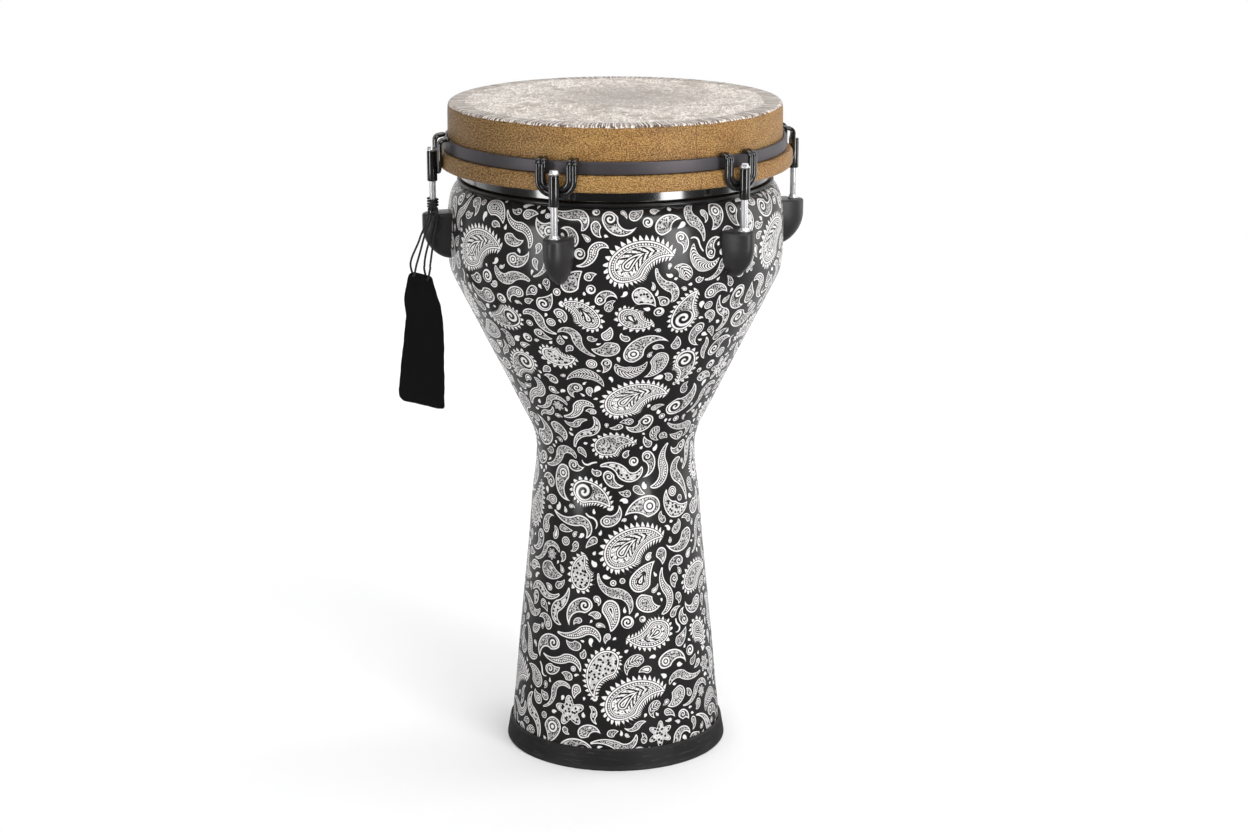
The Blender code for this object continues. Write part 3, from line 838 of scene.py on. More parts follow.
def flat_plan(layout):
    """Points, faces and each face's motif number (-1: the whole sheet)."""
    downs = LENGTH * np.arange(DOWN + 1) / DOWN
    points = ([(angle * PLANE, 0.0) for angle in EDGE_ANGLES[:-1]]
              + [(HALF, down) for down in downs[:-1]]
              + [(angle * PLANE, LENGTH) for angle in EDGE_ANGLES[:0:-1]]
              + [(-HALF, down) for down in downs[:0:-1]])
    faces, owners = [list(range(len(points)))], [-1]
    near = np.zeros((int(LENGTH / NEAR) + 3, int(TAU * PLANE / NEAR) + 3), bool)
    for i, (_, place, _, shape) in enumerate(layout.items):
        angle, down = layout.on_shell(shape[..., 0], shape[..., 1], *place)
        down = np.clip(down, 0.3, LENGTH - 0.3)
        x = np.clip(angle, -math.pi + 0.003, math.pi - 0.003) * PLANE
        area = 0.5 * np.sum(x * np.roll(down, -1) - np.roll(x, -1) * down)
        step = 1 if area > 0 else -1
        faces.append(list(range(len(points), len(points) + len(x))))
        points += [(float(px), float(py)) for px, py in zip(x[::step], down[::step])]
        owners.append(i)
        near[(down / NEAR).astype(int), ((x + HALF) / NEAR).astype(int)] = True
    wide = near.copy()
    wide[1:] |= near[:-1]
    wide[:-1] |= near[1:]
    wide[:, 1:] |= near[:, :-1]
    wide[:, :-1] |= near[:, 1:]
    rows = int(LENGTH / 6.0)
    for i in range(1, rows):
        down = LENGTH * i / rows
        columns = int(TAU * float(radius_at(down)) / 6.5)
        for j in range(1, columns):
            x = -HALF + TAU * PLANE * (j + 0.5 * (i % 2)) / columns
            if x < HALF - 2.0 and not wide[near_cell(x, down)]:
                points.append((x, down))
    return points, faces, owners


def weld_seam(flat):
    """Join the sheet's two sides at the back: kept points, and each point's vertex number."""
    keep = np.arange(len(flat))
    right = np.nonzero(np.abs(flat[:, 0] - HALF) < 1e-4)[0]
    left = np.nonzero(np.abs(flat[:, 0] + HALF) < 1e-4)[0]
    for i in right:
        keep[i] = left[np.argmin(np.abs(flat[left, 1] - flat[i, 1]))]
    used = np.unique(keep)
    number = np.full(len(flat), -1)
    number[used] = np.arange(len(used))
    return used, number[keep]


def motif_attributes(layout, owner, angle, down):
    """Per corner: place in the motif's own axes and fill (m0), shape (m1 to m3), look (m4)."""
    inside = owner >= 0
    item = np.maximum(owner, 0)
    places = np.array([place for _, place, _, _ in layout.items])[item]
    shape = np.array([[motif[key] for key in SHAPE] for motif, *_ in layout.items])[item]
    look = np.array([look for _, _, look, _ in layout.items])[item]
    across = (angle - places[:, 0]) * radius_at(down)
    x, y = turned(across, places[:, 1] - down, -places[:, 2])
    place_fill = np.stack([np.where(inside, x, angle * 100), np.where(inside, y, down),
                           np.where(inside, look[:, 0], -1.0)], 1)
    return place_fill, shape[:, 0:3], shape[:, 3:6], shape[:, 6:9], look[:, 1:4]


# m0 to m4 on the inside surface; fill -2 marks it
LINER_VALUES = ((0, 0, -2.0), (0, 0, 1.0), (1.0, 1.0, 1.0), (1.0, 0, 0), (0, 0, 1.0))


def build_shell():
    layout = lay_out()
    points, plan_faces, owners = flat_plan(layout)
    flat, _, triangles, _, _, sources = delaunay_2d_cdt(
        [Vector(point) for point in points], [], plan_faces, 1, 1e-6, True)
    flat = np.array([(point.x, point.y) for point in flat])
    triangles = np.array(triangles)
    angle, down = flat[:, 0] / PLANE, np.clip(flat[:, 1], 0, LENGTH)
    radius, height = radius_at(down), height_at(down)
    used, index = weld_seam(flat)
    verts = [polar(radius[i], angle[i], height[i]) for i in used]
    # outward normals off the outline
    slope_r, slope_h = np.gradient(CURVE[:, 0]), np.gradient(CURVE[:, 1])
    size = np.hypot(slope_r, slope_h)
    normal_r = np.interp(down, ARC, -slope_h / size)
    normal_h = np.interp(down, ARC, slope_r / size)
    normals = np.stack([normal_r * np.sin(angle), -normal_r * np.cos(angle), normal_h], 1)[used]

    owner = np.array([next((owners[f] for f in source if owners[f] >= 0), -1)
                      for source in sources])
    corner = triangles.reshape(-1)
    data = motif_attributes(layout, np.repeat(owner, 3), angle[corner], down[corner])

    # inside surface, joined to the outer surface's two edges
    def edge(at):
        return [index[int(np.argmin(np.hypot(flat[:, 0] - a * PLANE, flat[:, 1] - at)))]
                for a in EDGE_ANGLES[:-1]]
    rings = [edge(LENGTH)]
    for r, h in INNER:
        rings.append(list(range(len(verts), len(verts) + ROUND)))
        verts += [polar(r, a, h) for a in EDGE_ANGLES[:-1]]
    rings.append(edge(0.0))
    inner = []
    for first, second in zip(rings, rings[1:]):
        inner += ring_faces(first, second, along=True)

    # wind the outer triangles outwards
    faces = index[triangles]
    order = np.arange(len(corner)).reshape(-1, 3)
    start, second, third = (np.array(verts[i]) for i in faces[0])
    if float(np.dot(np.cross(second - start, third - start), start * (1, 1, 0))) < 0:
        faces, order = faces[:, ::-1], order[:, ::-1]
    mesh = bpy.data.meshes.new("shell_printed")
    mesh.from_pydata(verts, [], [tuple(int(i) for i in face) for face in faces]
                     + [tuple(int(i) for i in face) for face in inner])
    for i, (values, liner) in enumerate(zip(data, LINER_VALUES)):
        layer = mesh.attributes.new(f"m{i}", "FLOAT_VECTOR", "CORNER")
        rest = np.tile(np.array(liner, float), (4 * len(inner), 1))
        full = np.concatenate([values[order.reshape(-1)], rest])
        layer.data.foreach_set("vector", full.astype(np.float32).reshape(-1))
    # the inside faces stay flat
    mesh.shade_smooth()
    loops = np.empty(len(mesh.loops), np.int32)
    mesh.loops.foreach_get("vertex_index", loops)
    face_normals = np.empty(len(mesh.polygons) * 3, np.float32)
    mesh.polygons.foreach_get("normal", face_normals)
    corner_normals = np.concatenate([
        normals.astype(np.float32)[loops[:len(corner)]],
        np.repeat(face_normals.reshape(-1, 3)[len(faces):], 4, axis=0)])
    mesh.normals_split_custom_set([tuple(normal) for normal in corner_normals.tolist()])
    return new_object("shell_printed", mesh)


def print_material():
    """Light ink on a dark ground, drawn in each motif's own axes."""
    mat = Shader("printed_shell")
    x, y, kind = mat.attribute("m0")
    tip_bend, head_bend, radius = mat.attribute("m1")
    tip, head, head_width = mat.attribute("m2")
    taper, lobing, lobes = mat.attribute("m3")
    seed, fringe, line = mat.attribute("m4")

    # the same field as field() above, with depth inside the outline
    up = y.gt(0.0)
    bend = (tip_bend - head_bend).times(up, plus=head_bend)
    sign = bend.gt(-1e-7).times(2.0, plus=-1.0)
    arc = 1.0 / bend.abs().max(MIN_BEND)
    dx = arc - sign * x
    reach = (dx * dx + y * y).sqrt()
    along = arc * y.abs().atan2(dx) * up.times(2.0, plus=-1.0)
    aside = arc - reach
    nearest = along.max(-head).min(tip)
    past = along - nearest
    to_tip = nearest.max(0.0) / tip.max(0.001)
    to_head = (-nearest).max(0.0) / head.max(0.001)
    narrow = (1.0 - to_tip ** 1.35).max(0.0) ** taper
    round_end = past.atan2(aside)
    width = (radius * narrow * (head_width - 1.0).times(to_head, plus=1.0)
             + lobing * radius * (lobes * round_end).cos())
    outside = (aside * aside + past * past).sqrt() - width
    depth = -outside
    off_spine = aside.abs()
    border = past.atan2(off_spine).times(width, plus=nearest)    # length along the outline

    inside = outside.below(0.0, soft=0.14)
    # pebbles: larger in larger motifs, with a cloudy tone
    grain = 1.0 / (radius * 0.14 + 1.25).min(2.35)
    grain_x, grain_y = (x + seed) * grain, (y - seed) * grain
    dots = mat.voronoi(mat.vector(grain_x, grain_y), scale=1.0, dims="2D")
    tone = mat.noise(mat.vector(grain_x, grain_y), scale=0.42, detail=3.0, rough=0.6,
                     dims="2D").above(0.50, soft=0.30)
    pebbles = dots.above(0.33, soft=0.13) * tone.times(0.56, plus=0.30)

    def ring(start, end):
        """1 between two depths."""
        return depth.above(start, soft=0.13) * depth.below(end, soft=0.13)

    def stripes(value, duty, soft=0.09):
        """1 for the duty part of every whole step of value."""
        return (value.frac() - 0.5).abs().below(duty * 0.5, soft)

    def rim(start):
        return depth.below(start, soft=0.14)

    def heart(start):
        return depth.above(start, soft=0.14)

    # beads along the inside of the edge line
    bead_x = ((border * (1 / 2.1)).frac() - 0.5).abs() * 2.1
    bead_y = (depth - (line + 1.5)).abs()
    beads = (bead_x * bead_x + bead_y * bead_y).sqrt().below(0.78, soft=0.16)
    edge = rim(line)
    core = heart(line + 0.62)
    from_origin = (x * x + y * y).sqrt()
    turns = y.atan2(x) * (1 / TAU)
    filling = core * pebbles
    size = from_origin / radius

    fills = {
        PEBBLED: pebbles.max(rim(0.7)),
        EDGED: edge.max(filling),
        LINED: edge.max(ring(line + 0.7, line + 1.45)).max(heart(line + 2.1) * pebbles),
        CORED: edge.max(heart(radius * 0.52)),
        VEINED: rim(0.7).max(stripes((along + off_spine * 1.1) * (1 / 2.9), duty=0.5)
                             * heart(1.2) * off_spine.above(0.35, soft=0.12)),
        BEADED: edge.max(beads).max(ring(line + 2.75, line + 3.5)).max(
            heart(line + 4.2) * pebbles),
        RINGED: stripes(depth * (1 / 1.9) + 0.25, duty=0.56),
        SPIRAL: stripes(from_origin * (1 / 3.3) - turns, duty=0.5).max(rim(line * 0.8)),
        RIBBED: stripes((along + off_spine * off_spine * 0.35) * (1 / 2.9), duty=0.5).max(
            rim(0.6))}
    # an eye or a curl in the head of the drop
    eye = (size - 0.46).abs().below(0.10, soft=0.04).max(size.below(0.20, soft=0.05))
    fills[EYED] = edge.max(filling * size.above(0.66, soft=0.04)).max(eye)
    curl = stripes(size * 1.9 - turns, duty=0.46, soft=0.12) * size.below(0.80, soft=0.04)
    fills[CURLED] = edge.max(filling * size.above(0.86, soft=0.04)).max(curl * core)
    # petals cut out of the pebbles round a ringed dot
    petals = stripes(turns * lobes + 0.5, duty=0.16) * size.above(0.4, soft=0.04) * -1.0
    fills[FLOWER] = edge.max(petals + filling).max(size.below(0.16, soft=0.04)).max(
        (size - 0.32).abs().below(0.05, soft=0.03))
    # the large ones: edge, beads, a line, then ribs round a striped heart
    rays = stripes(round_end * (7 / TAU) + depth * 0.11, duty=0.56)
    ribs = stripes((along * 0.9 + off_spine * 0.9) * (1 / 4.4), duty=0.56)
    band = heart(line + 4.2) * rim(radius * 0.66)
    fills[GRAND] = edge.max(beads).max(ring(line + 2.75, line + 3.6)).max(
        band * ribs.max(rays * nearest.below(1.0, soft=1.0)) * dots.above(0.2, soft=0.2)).max(
        heart(radius * 0.72) * stripes(depth * (1 / 2.6), duty=0.5))
    # large dark spots
    spots = mat.voronoi(mat.vector(x + seed, y - seed), scale=1 / 3.9, dims="2D")
    fills[SPOTTED] = edge.max(core * spots.above(0.30, soft=0.05)
                              * pebbles.times(0.45, plus=0.55))

    ink = fills.pop(PEBBLED) * kind.same(PEBBLED)
    for number in sorted(fills):
        ink = fills[number].times(kind.same(number), plus=ink)
    ink = ink.max(0.0) + kind.same(SOLID)
    # a fringe of short teeth outside the edge of some
    tooth_x = ((border * (1 / 3.6)).frac() - 0.5).abs() * 3.6
    room = (1.0 - outside / fringe.max(0.01)).max(0.0) ** 0.75 * 1.55
    teeth = ((room - tooth_x).above(0.0, soft=0.16) * outside.above(0.75, soft=0.14)
             * fringe.gt(0.5))
    in_cell = kind.gt(-0.5)
    ink = (ink * inside).max(teeth) * in_cell

    place = mat.position()
    weave = mat.noise(mat.stretch(place, 1.0, 1.0), scale=900.0, rough=0.6)
    cloud = mat.noise(place, scale=9.0, detail=3.0, rough=0.55)
    worn = mat.noise(place, scale=60.0, detail=4.0, rough=0.6)
    light = mat.mix(cloud, under=(0.74, 0.725, 0.72), over=(0.86, 0.845, 0.84))
    light = mat.mix(weave.above(0.5, soft=0.3) * 0.12, light, over=(0.36, 0.35, 0.35))
    dark = mat.mix(cloud, under=(0.0075, 0.0068, 0.0072), over=(0.013, 0.0118, 0.0122))
    ink = ink * (1.0 - worn.above(0.66, soft=0.1) * 0.25)
    color = mat.mix(ink, dark, light)
    liner = kind.below(-1.5, soft=0.2)
    color = mat.mix(liner, color,
                    mat.mix(worn, under=(0.014, 0.013, 0.013), over=(0.03, 0.028, 0.027)))
    rough = worn.times(0.16, plus=0.40) + ink * 0.06 + liner * 0.25
    mat.set(color=color, rough=rough, coat=0.46 * (1.0 - liner),
            coat_rough=cloud.times(0.08, plus=0.12), spec=0.14)
    relief = ink * 0.35 + worn * 0.4 + weave * 0.25
    ripple = mat.bump(relief, strength=0.12, distance=0.0004)
    coat_relief = mat.noise(place, scale=130.0)
    return mat.set(normal=ripple,
                   coat_normal=mat.bump(coat_relief, strength=0.05, distance=0.0006))


# ---------------------------------------------------------------------------------------
# plain materials; positions in them are metres, so noise scales are per metre
# ---------------------------------------------------------------------------------------
def height_of(z):
    """Millimetres above the floor from a shader's Z."""
    return (z - level(0.0)) * 1000.0


def collar_material():
    mat = Shader("gloss_collar")
    place = mat.position()
    cloud = mat.noise(place, scale=14.0, detail=3.0, rough=0.55)
    fine = mat.noise(place, scale=420.0, rough=0.6)
    dust = mat.voronoi(place, scale=260.0).below(0.10, soft=0.05) * cloud.above(0.5, soft=0.3)
    color = mat.mix(cloud, under=(0.0045, 0.0043, 0.0046), over=(0.010, 0.0095, 0.0095))
    color = mat.mix(dust * 0.35, color, over=(0.16, 0.155, 0.15))
    lip = height_of(mat.split(place)[2]).below(541.6, soft=0.8)
    return mat.set(
        color=color, rough=cloud.times(0.07, plus=0.055) + dust * 0.3 + lip * 0.35,
        coat=1.0 - lip * 0.75, coat_rough=cloud.times(0.10, plus=0.11), coat_ior=1.8,
        spec=0.5 - lip * 0.3,
        normal=mat.bump(cloud + fine * 0.1, strength=0.04, distance=0.0008))


def rubber_material():
    mat = Shader("foot_rubber")
    place = mat.position()
    cloud = mat.noise(place, scale=22.0, detail=4.0, rough=0.6)
    fine = mat.noise(place, scale=1500.0, rough=0.6)
    scuff = mat.noise(mat.stretch(place, 1.0, 1.0, 9.0), scale=60.0, detail=5.0,
                      rough=0.7).above(0.60, soft=0.08)
    low_edge = height_of(mat.split(place)[2]).below(4.5, soft=3.0)
    color = mat.mix(cloud, under=(0.0080, 0.0072, 0.0076), over=(0.0145, 0.0132, 0.0136))
    color = mat.mix(scuff * 0.35 + low_edge * 0.12, color, over=(0.075, 0.07, 0.068))
    return mat.set(
        color=color, rough=cloud.times(0.15, plus=0.46) + scuff * 0.15, spec=0.3,
        normal=mat.bump(fine * 0.7 + scuff * 0.5 + cloud * 0.3, strength=0.28, distance=0.0004))


# stretch x, stretch y, noise scale, distortion of each direction of hairs
HAIRS = ((1.0, 0.20, 120.0, 1.6), (0.35, 0.6, 130.0, 1.9), (0.8, 0.3, 190.0, 2.6))


def film_material():
    mat = Shader("fibre_film")
    place = mat.position()
    x, y, z = mat.split(place)
    radius = (x * x + y * y).sqrt() * 1000.0
    big = mat.noise(place, scale=11.0, detail=4.0, rough=0.6)
    mid = mat.noise(mat.stretch(place, 1.0, 0.42), scale=95.0, detail=5.0, rough=0.68)
    fine = mat.noise(mat.stretch(place, 1.0, 0.5), scale=420.0, detail=4.0, rough=0.7)
    # long hairs: thin ridges of stretched, bent noise in three directions
    hairs = None
    for i, (stretch_x, stretch_y, scale, bend) in enumerate(HAIRS):
        ridge = mat.noise(mat.stretch(place, stretch_x, stretch_y), scale=scale, bend=bend)
        hair = (ridge - 0.5).abs().below(0.014 + 0.004 * i, soft=0.016)
        hairs = hair if hairs is None else hairs.max(hair)
    hairs = hairs * mat.noise(place, scale=34.0).above(0.42, soft=0.16)
    crisp = mat.noise(mat.stretch(place, 1.0, 0.30), scale=330.0, detail=3.0, rough=0.62)
    flake = crisp.above(0.60, soft=0.045) * mid.above(0.47, soft=0.12)
    pit = crisp.below(0.415, soft=0.05) * mid.below(0.56, soft=0.14)
    color = mat.mix(mid.above(0.5, soft=0.24), under=(0.280, 0.220, 0.178),
                    over=(0.545, 0.462, 0.388))
    color = mat.mix(big.above(0.5, soft=0.3) * 0.5, color, over=(0.42, 0.36, 0.31))
    # darker, smoother oval a little to the right and back of the centre
    cloud = (1.0 - (((x * 1000.0 - 12.0) / 92.0) ** 2.0
                    + ((y * 1000.0 - 20.0) / 84.0) ** 2.0)).max(0.0)
    calm = 1.0 - cloud * 0.75
    color = mat.mix(cloud * 0.70 * mid.times(0.9, plus=0.5), color, over=(0.255, 0.212, 0.188))
    color = mat.mix(pit * 0.55 * calm, color, over=(0.19, 0.145, 0.12))
    color = mat.mix(hairs * 0.85 * calm, color, over=(0.97, 0.915, 0.86))
    color = mat.mix(flake * 0.75 * calm, color, over=(0.96, 0.89, 0.82))
    # torn, mottled rim: brown gaps and white tufts
    angle = y.atan2(x)
    rag = mat.noise(mat.vector(angle * 82.0, z * 190.0), scale=1.0, detail=3.0, rough=0.7)
    rim = (radius + rag * 20.0).above(145.5, soft=5.0)
    patch = mat.noise(mat.vector(angle * 7.0, 0.0), scale=1.0).above(0.46, soft=0.16)
    color = mat.mix(rim * rag.above(0.475, soft=0.05) * (patch * 0.4 + 0.6), color,
                    over=(0.085, 0.043, 0.022))
    color = mat.mix(rim * rag.below(0.47, soft=0.05) * 0.85, color, over=(0.93, 0.875, 0.815))
    mat.set(color=color, rough=mid.times(0.2, plus=0.42) - flake * 0.1, coat=0.08,
            coat_rough=0.35, spec=0.42)
    relief = mid * 0.5 + hairs * 0.6 + fine * 0.3 - pit * 0.4 + rim * rag * 0.8
    return mat.set(normal=mat.bump(relief, strength=0.35, distance=0.0005))


HOOP_BORE = 152.4
SHEET_RADIUS = 152.0                  # sheet textures are unrolled at this radius


def fleck_material():
    mat = Shader("fleck_brown")
    x, y, z = mat.split(mat.position())
    along = x.atan2(-y) * SHEET_RADIUS
    height = height_of(z)
    sheet = mat.vector(along, height)

    def sheet_noise(along_scale, up_scale, detail, rough):
        return mat.noise(mat.stretch(sheet, along_scale, up_scale), scale=1.0, detail=detail,
                         rough=rough, dims="2D")

    big = sheet_noise(0.012, 0.035, detail=3.0, rough=0.6)
    cloud = sheet_noise(0.05, 0.10, detail=4.0, rough=0.65)
    grain = sheet_noise(0.30, 0.42, detail=4.0, rough=0.8)
    fibre = sheet_noise(0.16, 2.1, detail=3.0, rough=0.7)
    fleck = sheet_noise(0.74, 1.02, detail=1.0, rough=0.5)
    color = mat.mix(cloud.above(0.5, soft=0.30), under=(0.250, 0.117, 0.030),
                    over=(0.375, 0.196, 0.055))
    smudge = sheet_noise(0.022, 0.085, detail=4.0, rough=0.65)
    color = mat.mix(smudge.below(0.44, soft=0.14) * 0.42, color, over=(0.13, 0.058, 0.017))
    # streaks, stronger on the left and low down
    left = (x * 1000.0).below(-30.0, soft=120.0)
    low_down = height.below(572.0, soft=26.0)
    color = mat.mix((fibre.above(0.55, soft=0.10) * 0.45) * (left * 0.7 + low_down * 0.5), color,
                    over=(0.18, 0.085, 0.03))
    color = mat.mix(big.above(0.54, soft=0.12) * 0.3, color, over=(0.50, 0.33, 0.105))
    # painted shade: the far left is darker and browner, standing in for light that falls off on
    # that side
    painted_shade_left = (x * 1000.0).below(-75.0, soft=75.0)
    color = mat.mix(painted_shade_left * 0.86, color, over=(0.042, 0.021, 0.0075))
    # the speckle itself, light and dark
    color = mat.mix(grain.above(0.52, soft=0.16) * 0.40, color, over=(0.150, 0.064, 0.015))
    clump = sheet_noise(0.30, 0.62, detail=2.0, rough=0.6)
    color = mat.mix(clump.above(0.56, soft=0.07) * 0.26, color, over=(0.48, 0.29, 0.10))
    color = mat.mix(clump.below(0.43, soft=0.07) * 0.38, color, over=(0.085, 0.037, 0.010))
    color = mat.mix(fleck.above(0.55, soft=0.07) * 0.42, color, over=(0.56, 0.35, 0.135))
    color = mat.mix(fleck.below(0.44, soft=0.07) * 0.66, color, over=(0.078, 0.034, 0.009))
    # coarse light and dark grain, only within the painted shade on the far left
    coarse = sheet_noise(0.36, 0.62, detail=1.0, rough=0.5)
    color = mat.mix(coarse.above(0.55, soft=0.06) * painted_shade_left * 0.16, color,
                    over=(0.42, 0.25, 0.095))
    color = mat.mix(coarse.below(0.44, soft=0.06) * painted_shade_left * 0.24, color,
                    over=(0.030, 0.014, 0.005))
    # the sheet's butt joint
    seam = (along - 72.9).abs().below(0.35, soft=0.25)
    lip = (along - 73.9).abs().below(0.5, soft=0.5)
    color = mat.mix(seam * 0.8, color, over=(0.13, 0.06, 0.02))
    mat.set(color=color, rough=grain.times(0.2, plus=0.44), coat=0.03, coat_rough=0.32,
            spec=0.24)
    relief = grain * 0.4 + fleck * 0.35 + fibre * 0.3 - seam * 1.6 + lip * 0.3
    return mat.set(normal=mat.bump(relief, strength=0.3, distance=0.0004))


def band_material():
    mat = Shader("satin_band")
    place = mat.position()
    x, y, z = mat.split(place)
    along = x.atan2(-y) * SHEET_RADIUS
    brushed = mat.stretch(mat.vector(along, z * 1000.0), 0.05, 3.0)
    brush = mat.noise(brushed, scale=1.0, detail=3.0, rough=0.6, dims="2D")
    cloud = mat.noise(place, scale=20.0, detail=4.0, rough=0.6)
    wear = mat.noise(place, scale=90.0, detail=5.0, rough=0.7).above(0.66, soft=0.05)
    color = mat.mix(cloud, under=(0.068, 0.061, 0.068), over=(0.105, 0.096, 0.104))
    color = mat.mix(wear * 0.4, color, over=(0.13, 0.12, 0.115))
    return mat.set(
        color=color, rough=brush.times(0.08, plus=0.41) + cloud * 0.04, metal=0.70, spec=0.5,
        normal=mat.bump(brush * 0.5 + cloud * 0.4, strength=0.10, distance=0.0004))


def claw_material():
    mat = Shader("gloss_casting")
    place = mat.position()
    cloud = mat.noise(place, scale=70.0, detail=4.0, rough=0.6)
    fine = mat.noise(place, scale=900.0)
    chip = mat.noise(place, scale=330.0, detail=3.0, rough=0.6).above(0.74, soft=0.03)
    color = mat.mix(cloud, under=(0.0040, 0.0038, 0.0040), over=(0.009, 0.0085, 0.0088))
    color = mat.mix(chip * 0.4, color, over=(0.14, 0.135, 0.13))
    return mat.set(
        color=color, rough=cloud.times(0.10, plus=0.10) + chip * 0.2, coat=0.5,
        coat_rough=0.06, spec=0.6,
        normal=mat.bump(cloud + fine * 0.25, strength=0.10, distance=0.0004))


def chrome_material():
    mat = Shader("chrome")
    place = mat.position()
    cloud = mat.noise(place, scale=110.0, detail=4.0, rough=0.6)
    smear = mat.noise(mat.stretch(place, 1.0, 1.0, 0.15), scale=260.0, detail=3.0, rough=0.6)
    color = mat.mix(cloud, under=(0.78, 0.78, 0.80), over=(0.88, 0.88, 0.89))
    color = mat.mix(smear.above(0.62, soft=0.12) * 0.25, color, over=(0.5, 0.49, 0.48))
    return mat.set(
        color=color, rough=smear.times(0.08, plus=0.23) + cloud * 0.03, metal=0.80,
        normal=mat.bump(smear + cloud * 0.5, strength=0.008, distance=0.0003))


def lug_material():
    mat = Shader("satin_casting")
    place = mat.position()
    cloud = mat.noise(place, scale=40.0, detail=4.0, rough=0.6)
    fine = mat.noise(place, scale=1300.0, rough=0.6)
    rub = mat.noise(place, scale=160.0, detail=4.0, rough=0.65).above(0.66, soft=0.06)
    color = mat.mix(cloud, under=(0.0135, 0.0125, 0.013), over=(0.024, 0.022, 0.0225))
    color = mat.mix(rub * 0.25, color, over=(0.095, 0.09, 0.088))
    return mat.set(
        color=color, rough=cloud.times(0.14, plus=0.36), spec=0.5, coat=0.08, coat_rough=0.3,
        normal=mat.bump(fine * 0.6 + cloud * 0.4 + rub * 0.2, strength=0.16, distance=0.0003))


def zinc_material():
    mat = Shader("zinc_steel")
    place = mat.position()
    cloud = mat.noise(place, scale=130.0, detail=4.0, rough=0.6)
    spangle = mat.voronoi(place, scale=420.0)
    stain = mat.noise(place, scale=60.0, detail=5.0, rough=0.7).above(0.62, soft=0.1)
    color = mat.mix(cloud, under=(0.44, 0.45, 0.46), over=(0.62, 0.62, 0.61))
    color = mat.mix(stain * 0.5, color, over=(0.33, 0.27, 0.20))
    return mat.set(
        color=color, rough=spangle.times(0.25, plus=0.26) + stain * 0.2, metal=1.0,
        normal=mat.bump(cloud + spangle * 0.3, strength=0.12, distance=0.0003))


def suede_material():
    mat = Shader("black_suede")
    place = mat.position()
    cloud = mat.noise(place, scale=26.0, detail=4.0, rough=0.6)
    fine = mat.noise(place, scale=1700.0, detail=3.0, rough=0.7)
    nap = mat.noise(mat.stretch(place, 1.0, 1.0, 0.5), scale=130.0, detail=4.0, rough=0.6)
    lint = mat.voronoi(place, scale=330.0).below(0.05, soft=0.03)
    color = mat.mix(cloud * 0.6 + nap * 0.4, under=(0.0022, 0.0020, 0.0021),
                    over=(0.0060, 0.0056, 0.0057))
    color = mat.mix(lint * 0.25, color, over=(0.10, 0.10, 0.10))
    return mat.set(
        color=color, rough=nap.times(0.12, plus=0.84), sheen=0.02, sheen_rough=0.5, spec=0.08,
        normal=mat.bump(fine * 0.8 + nap * 0.6, strength=0.45, distance=0.0004))


def cord_material():
    mat = Shader("black_cord")
    place = mat.position()
    cloud = mat.noise(place, scale=210.0, detail=3.0, rough=0.6)
    fine = mat.noise(place, scale=2400.0, rough=0.7)
    color = mat.mix(cloud, under=(0.0065, 0.006, 0.006), over=(0.022, 0.020, 0.020))
    return mat.set(
        color=color, rough=cloud.times(0.15, plus=0.68), sheen=0.12, sheen_rough=0.4,
        spec=0.35, normal=mat.bump(fine, strength=0.5, distance=0.0003))


# ---------------------------------------------------------------------------------------
# turned pieces; profile corners are (radius, height, corner radius)
# ---------------------------------------------------------------------------------------
RING = 192                            # segments

COLLAR = [
    (141.5, top_of("bearing_collar"), 1.2), (144.4, 606.8, 1.6), (145.4, 603.5, 2.0),
    (145.4, 597.0, 2.0), (140.0, 589.0, 3.0), (140.0, 541.4, 1.3), (143.7, 540.6, 1.0),
    (144.2, 538.2, 0.9), (142.6, 536.9, 0.4), (132.1, 536.9, 0.4), (132.1, 520.0, 1.5),
    (127.5, 520.0, 1.5), (127.5, 545.0, 3.0), (135.0, 558.0, 6.0), (135.5, 600.0, 3.0)]
FOOT = [
    (99.45, 20.6, 0.45), (100.7, 18.6, 1.6), (102.0, 11.0, 3.0), (103.7, 1.2, 1.2),
    (102.9, 0.0, 0.6), (88.0, 0.0, 1.5), (88.0, 12.6, 1.0), (91.0, 12.6, 0.6),
    (91.7, 4.0, 0.4), (99.5, 4.0, 0.3), (99.0, 19.8, 0.2)]
HOOP = [
    (HOOP_BORE, 567.3, 0.5), (158.6, 567.3, 2.4), (161.0, 564.6, 3.0), (161.0, 554.6, 2.6),
    (159.0, 552.7, 2.0), (HOOP_BORE, 552.7, 0.5)]
BAND = [(HOOP_BORE, 579.0, 0.7), (155.4, 579.0, 0.9), (155.4, 567.6, 0.9), (HOOP_BORE, 567.6, 0.7)]

finish_piece(build_shell(), "root", print_material(), "shell")
finish_piece(lathe("collar_gloss", rounded(COLLAR), RING), "root", collar_material(),
             "bearing_collar")
finish_piece(lathe("foot_rubber_ring", rounded(FOOT), RING), "root", rubber_material(),
             "foot_ring")

# the head's rounded rim: centre (radius, height) and radius of its section
RIM_AT, RIM_HEIGHT = 147.4, 605.0
RIM_RADIUS = 4.6
FILM_TOP = top_of("head_film")
FILM_THICK = 0.8                      # on the flat
FILM_WRAP = 0.38                      # round the rim
TORN_SEED = 4.0
# waves round the edge, degrees
TORN = ((7, 1.6), (13, 1.9), (23, 2.1), (41, 2.2), (67, 1.8), (97, 1.3))


def torn_edge(angle):
    """Angle on the rim's section where the film ends."""
    ripple = 0.0
    for i, (waves, size) in enumerate(TORN):
        phase = TORN_SEED * (i + 1.7) + 1.3 * math.sin(TORN_SEED + i * 2.1)
        ripple += size * math.sin(waves * angle + phase)
    return math.radians(37.0 + ripple)


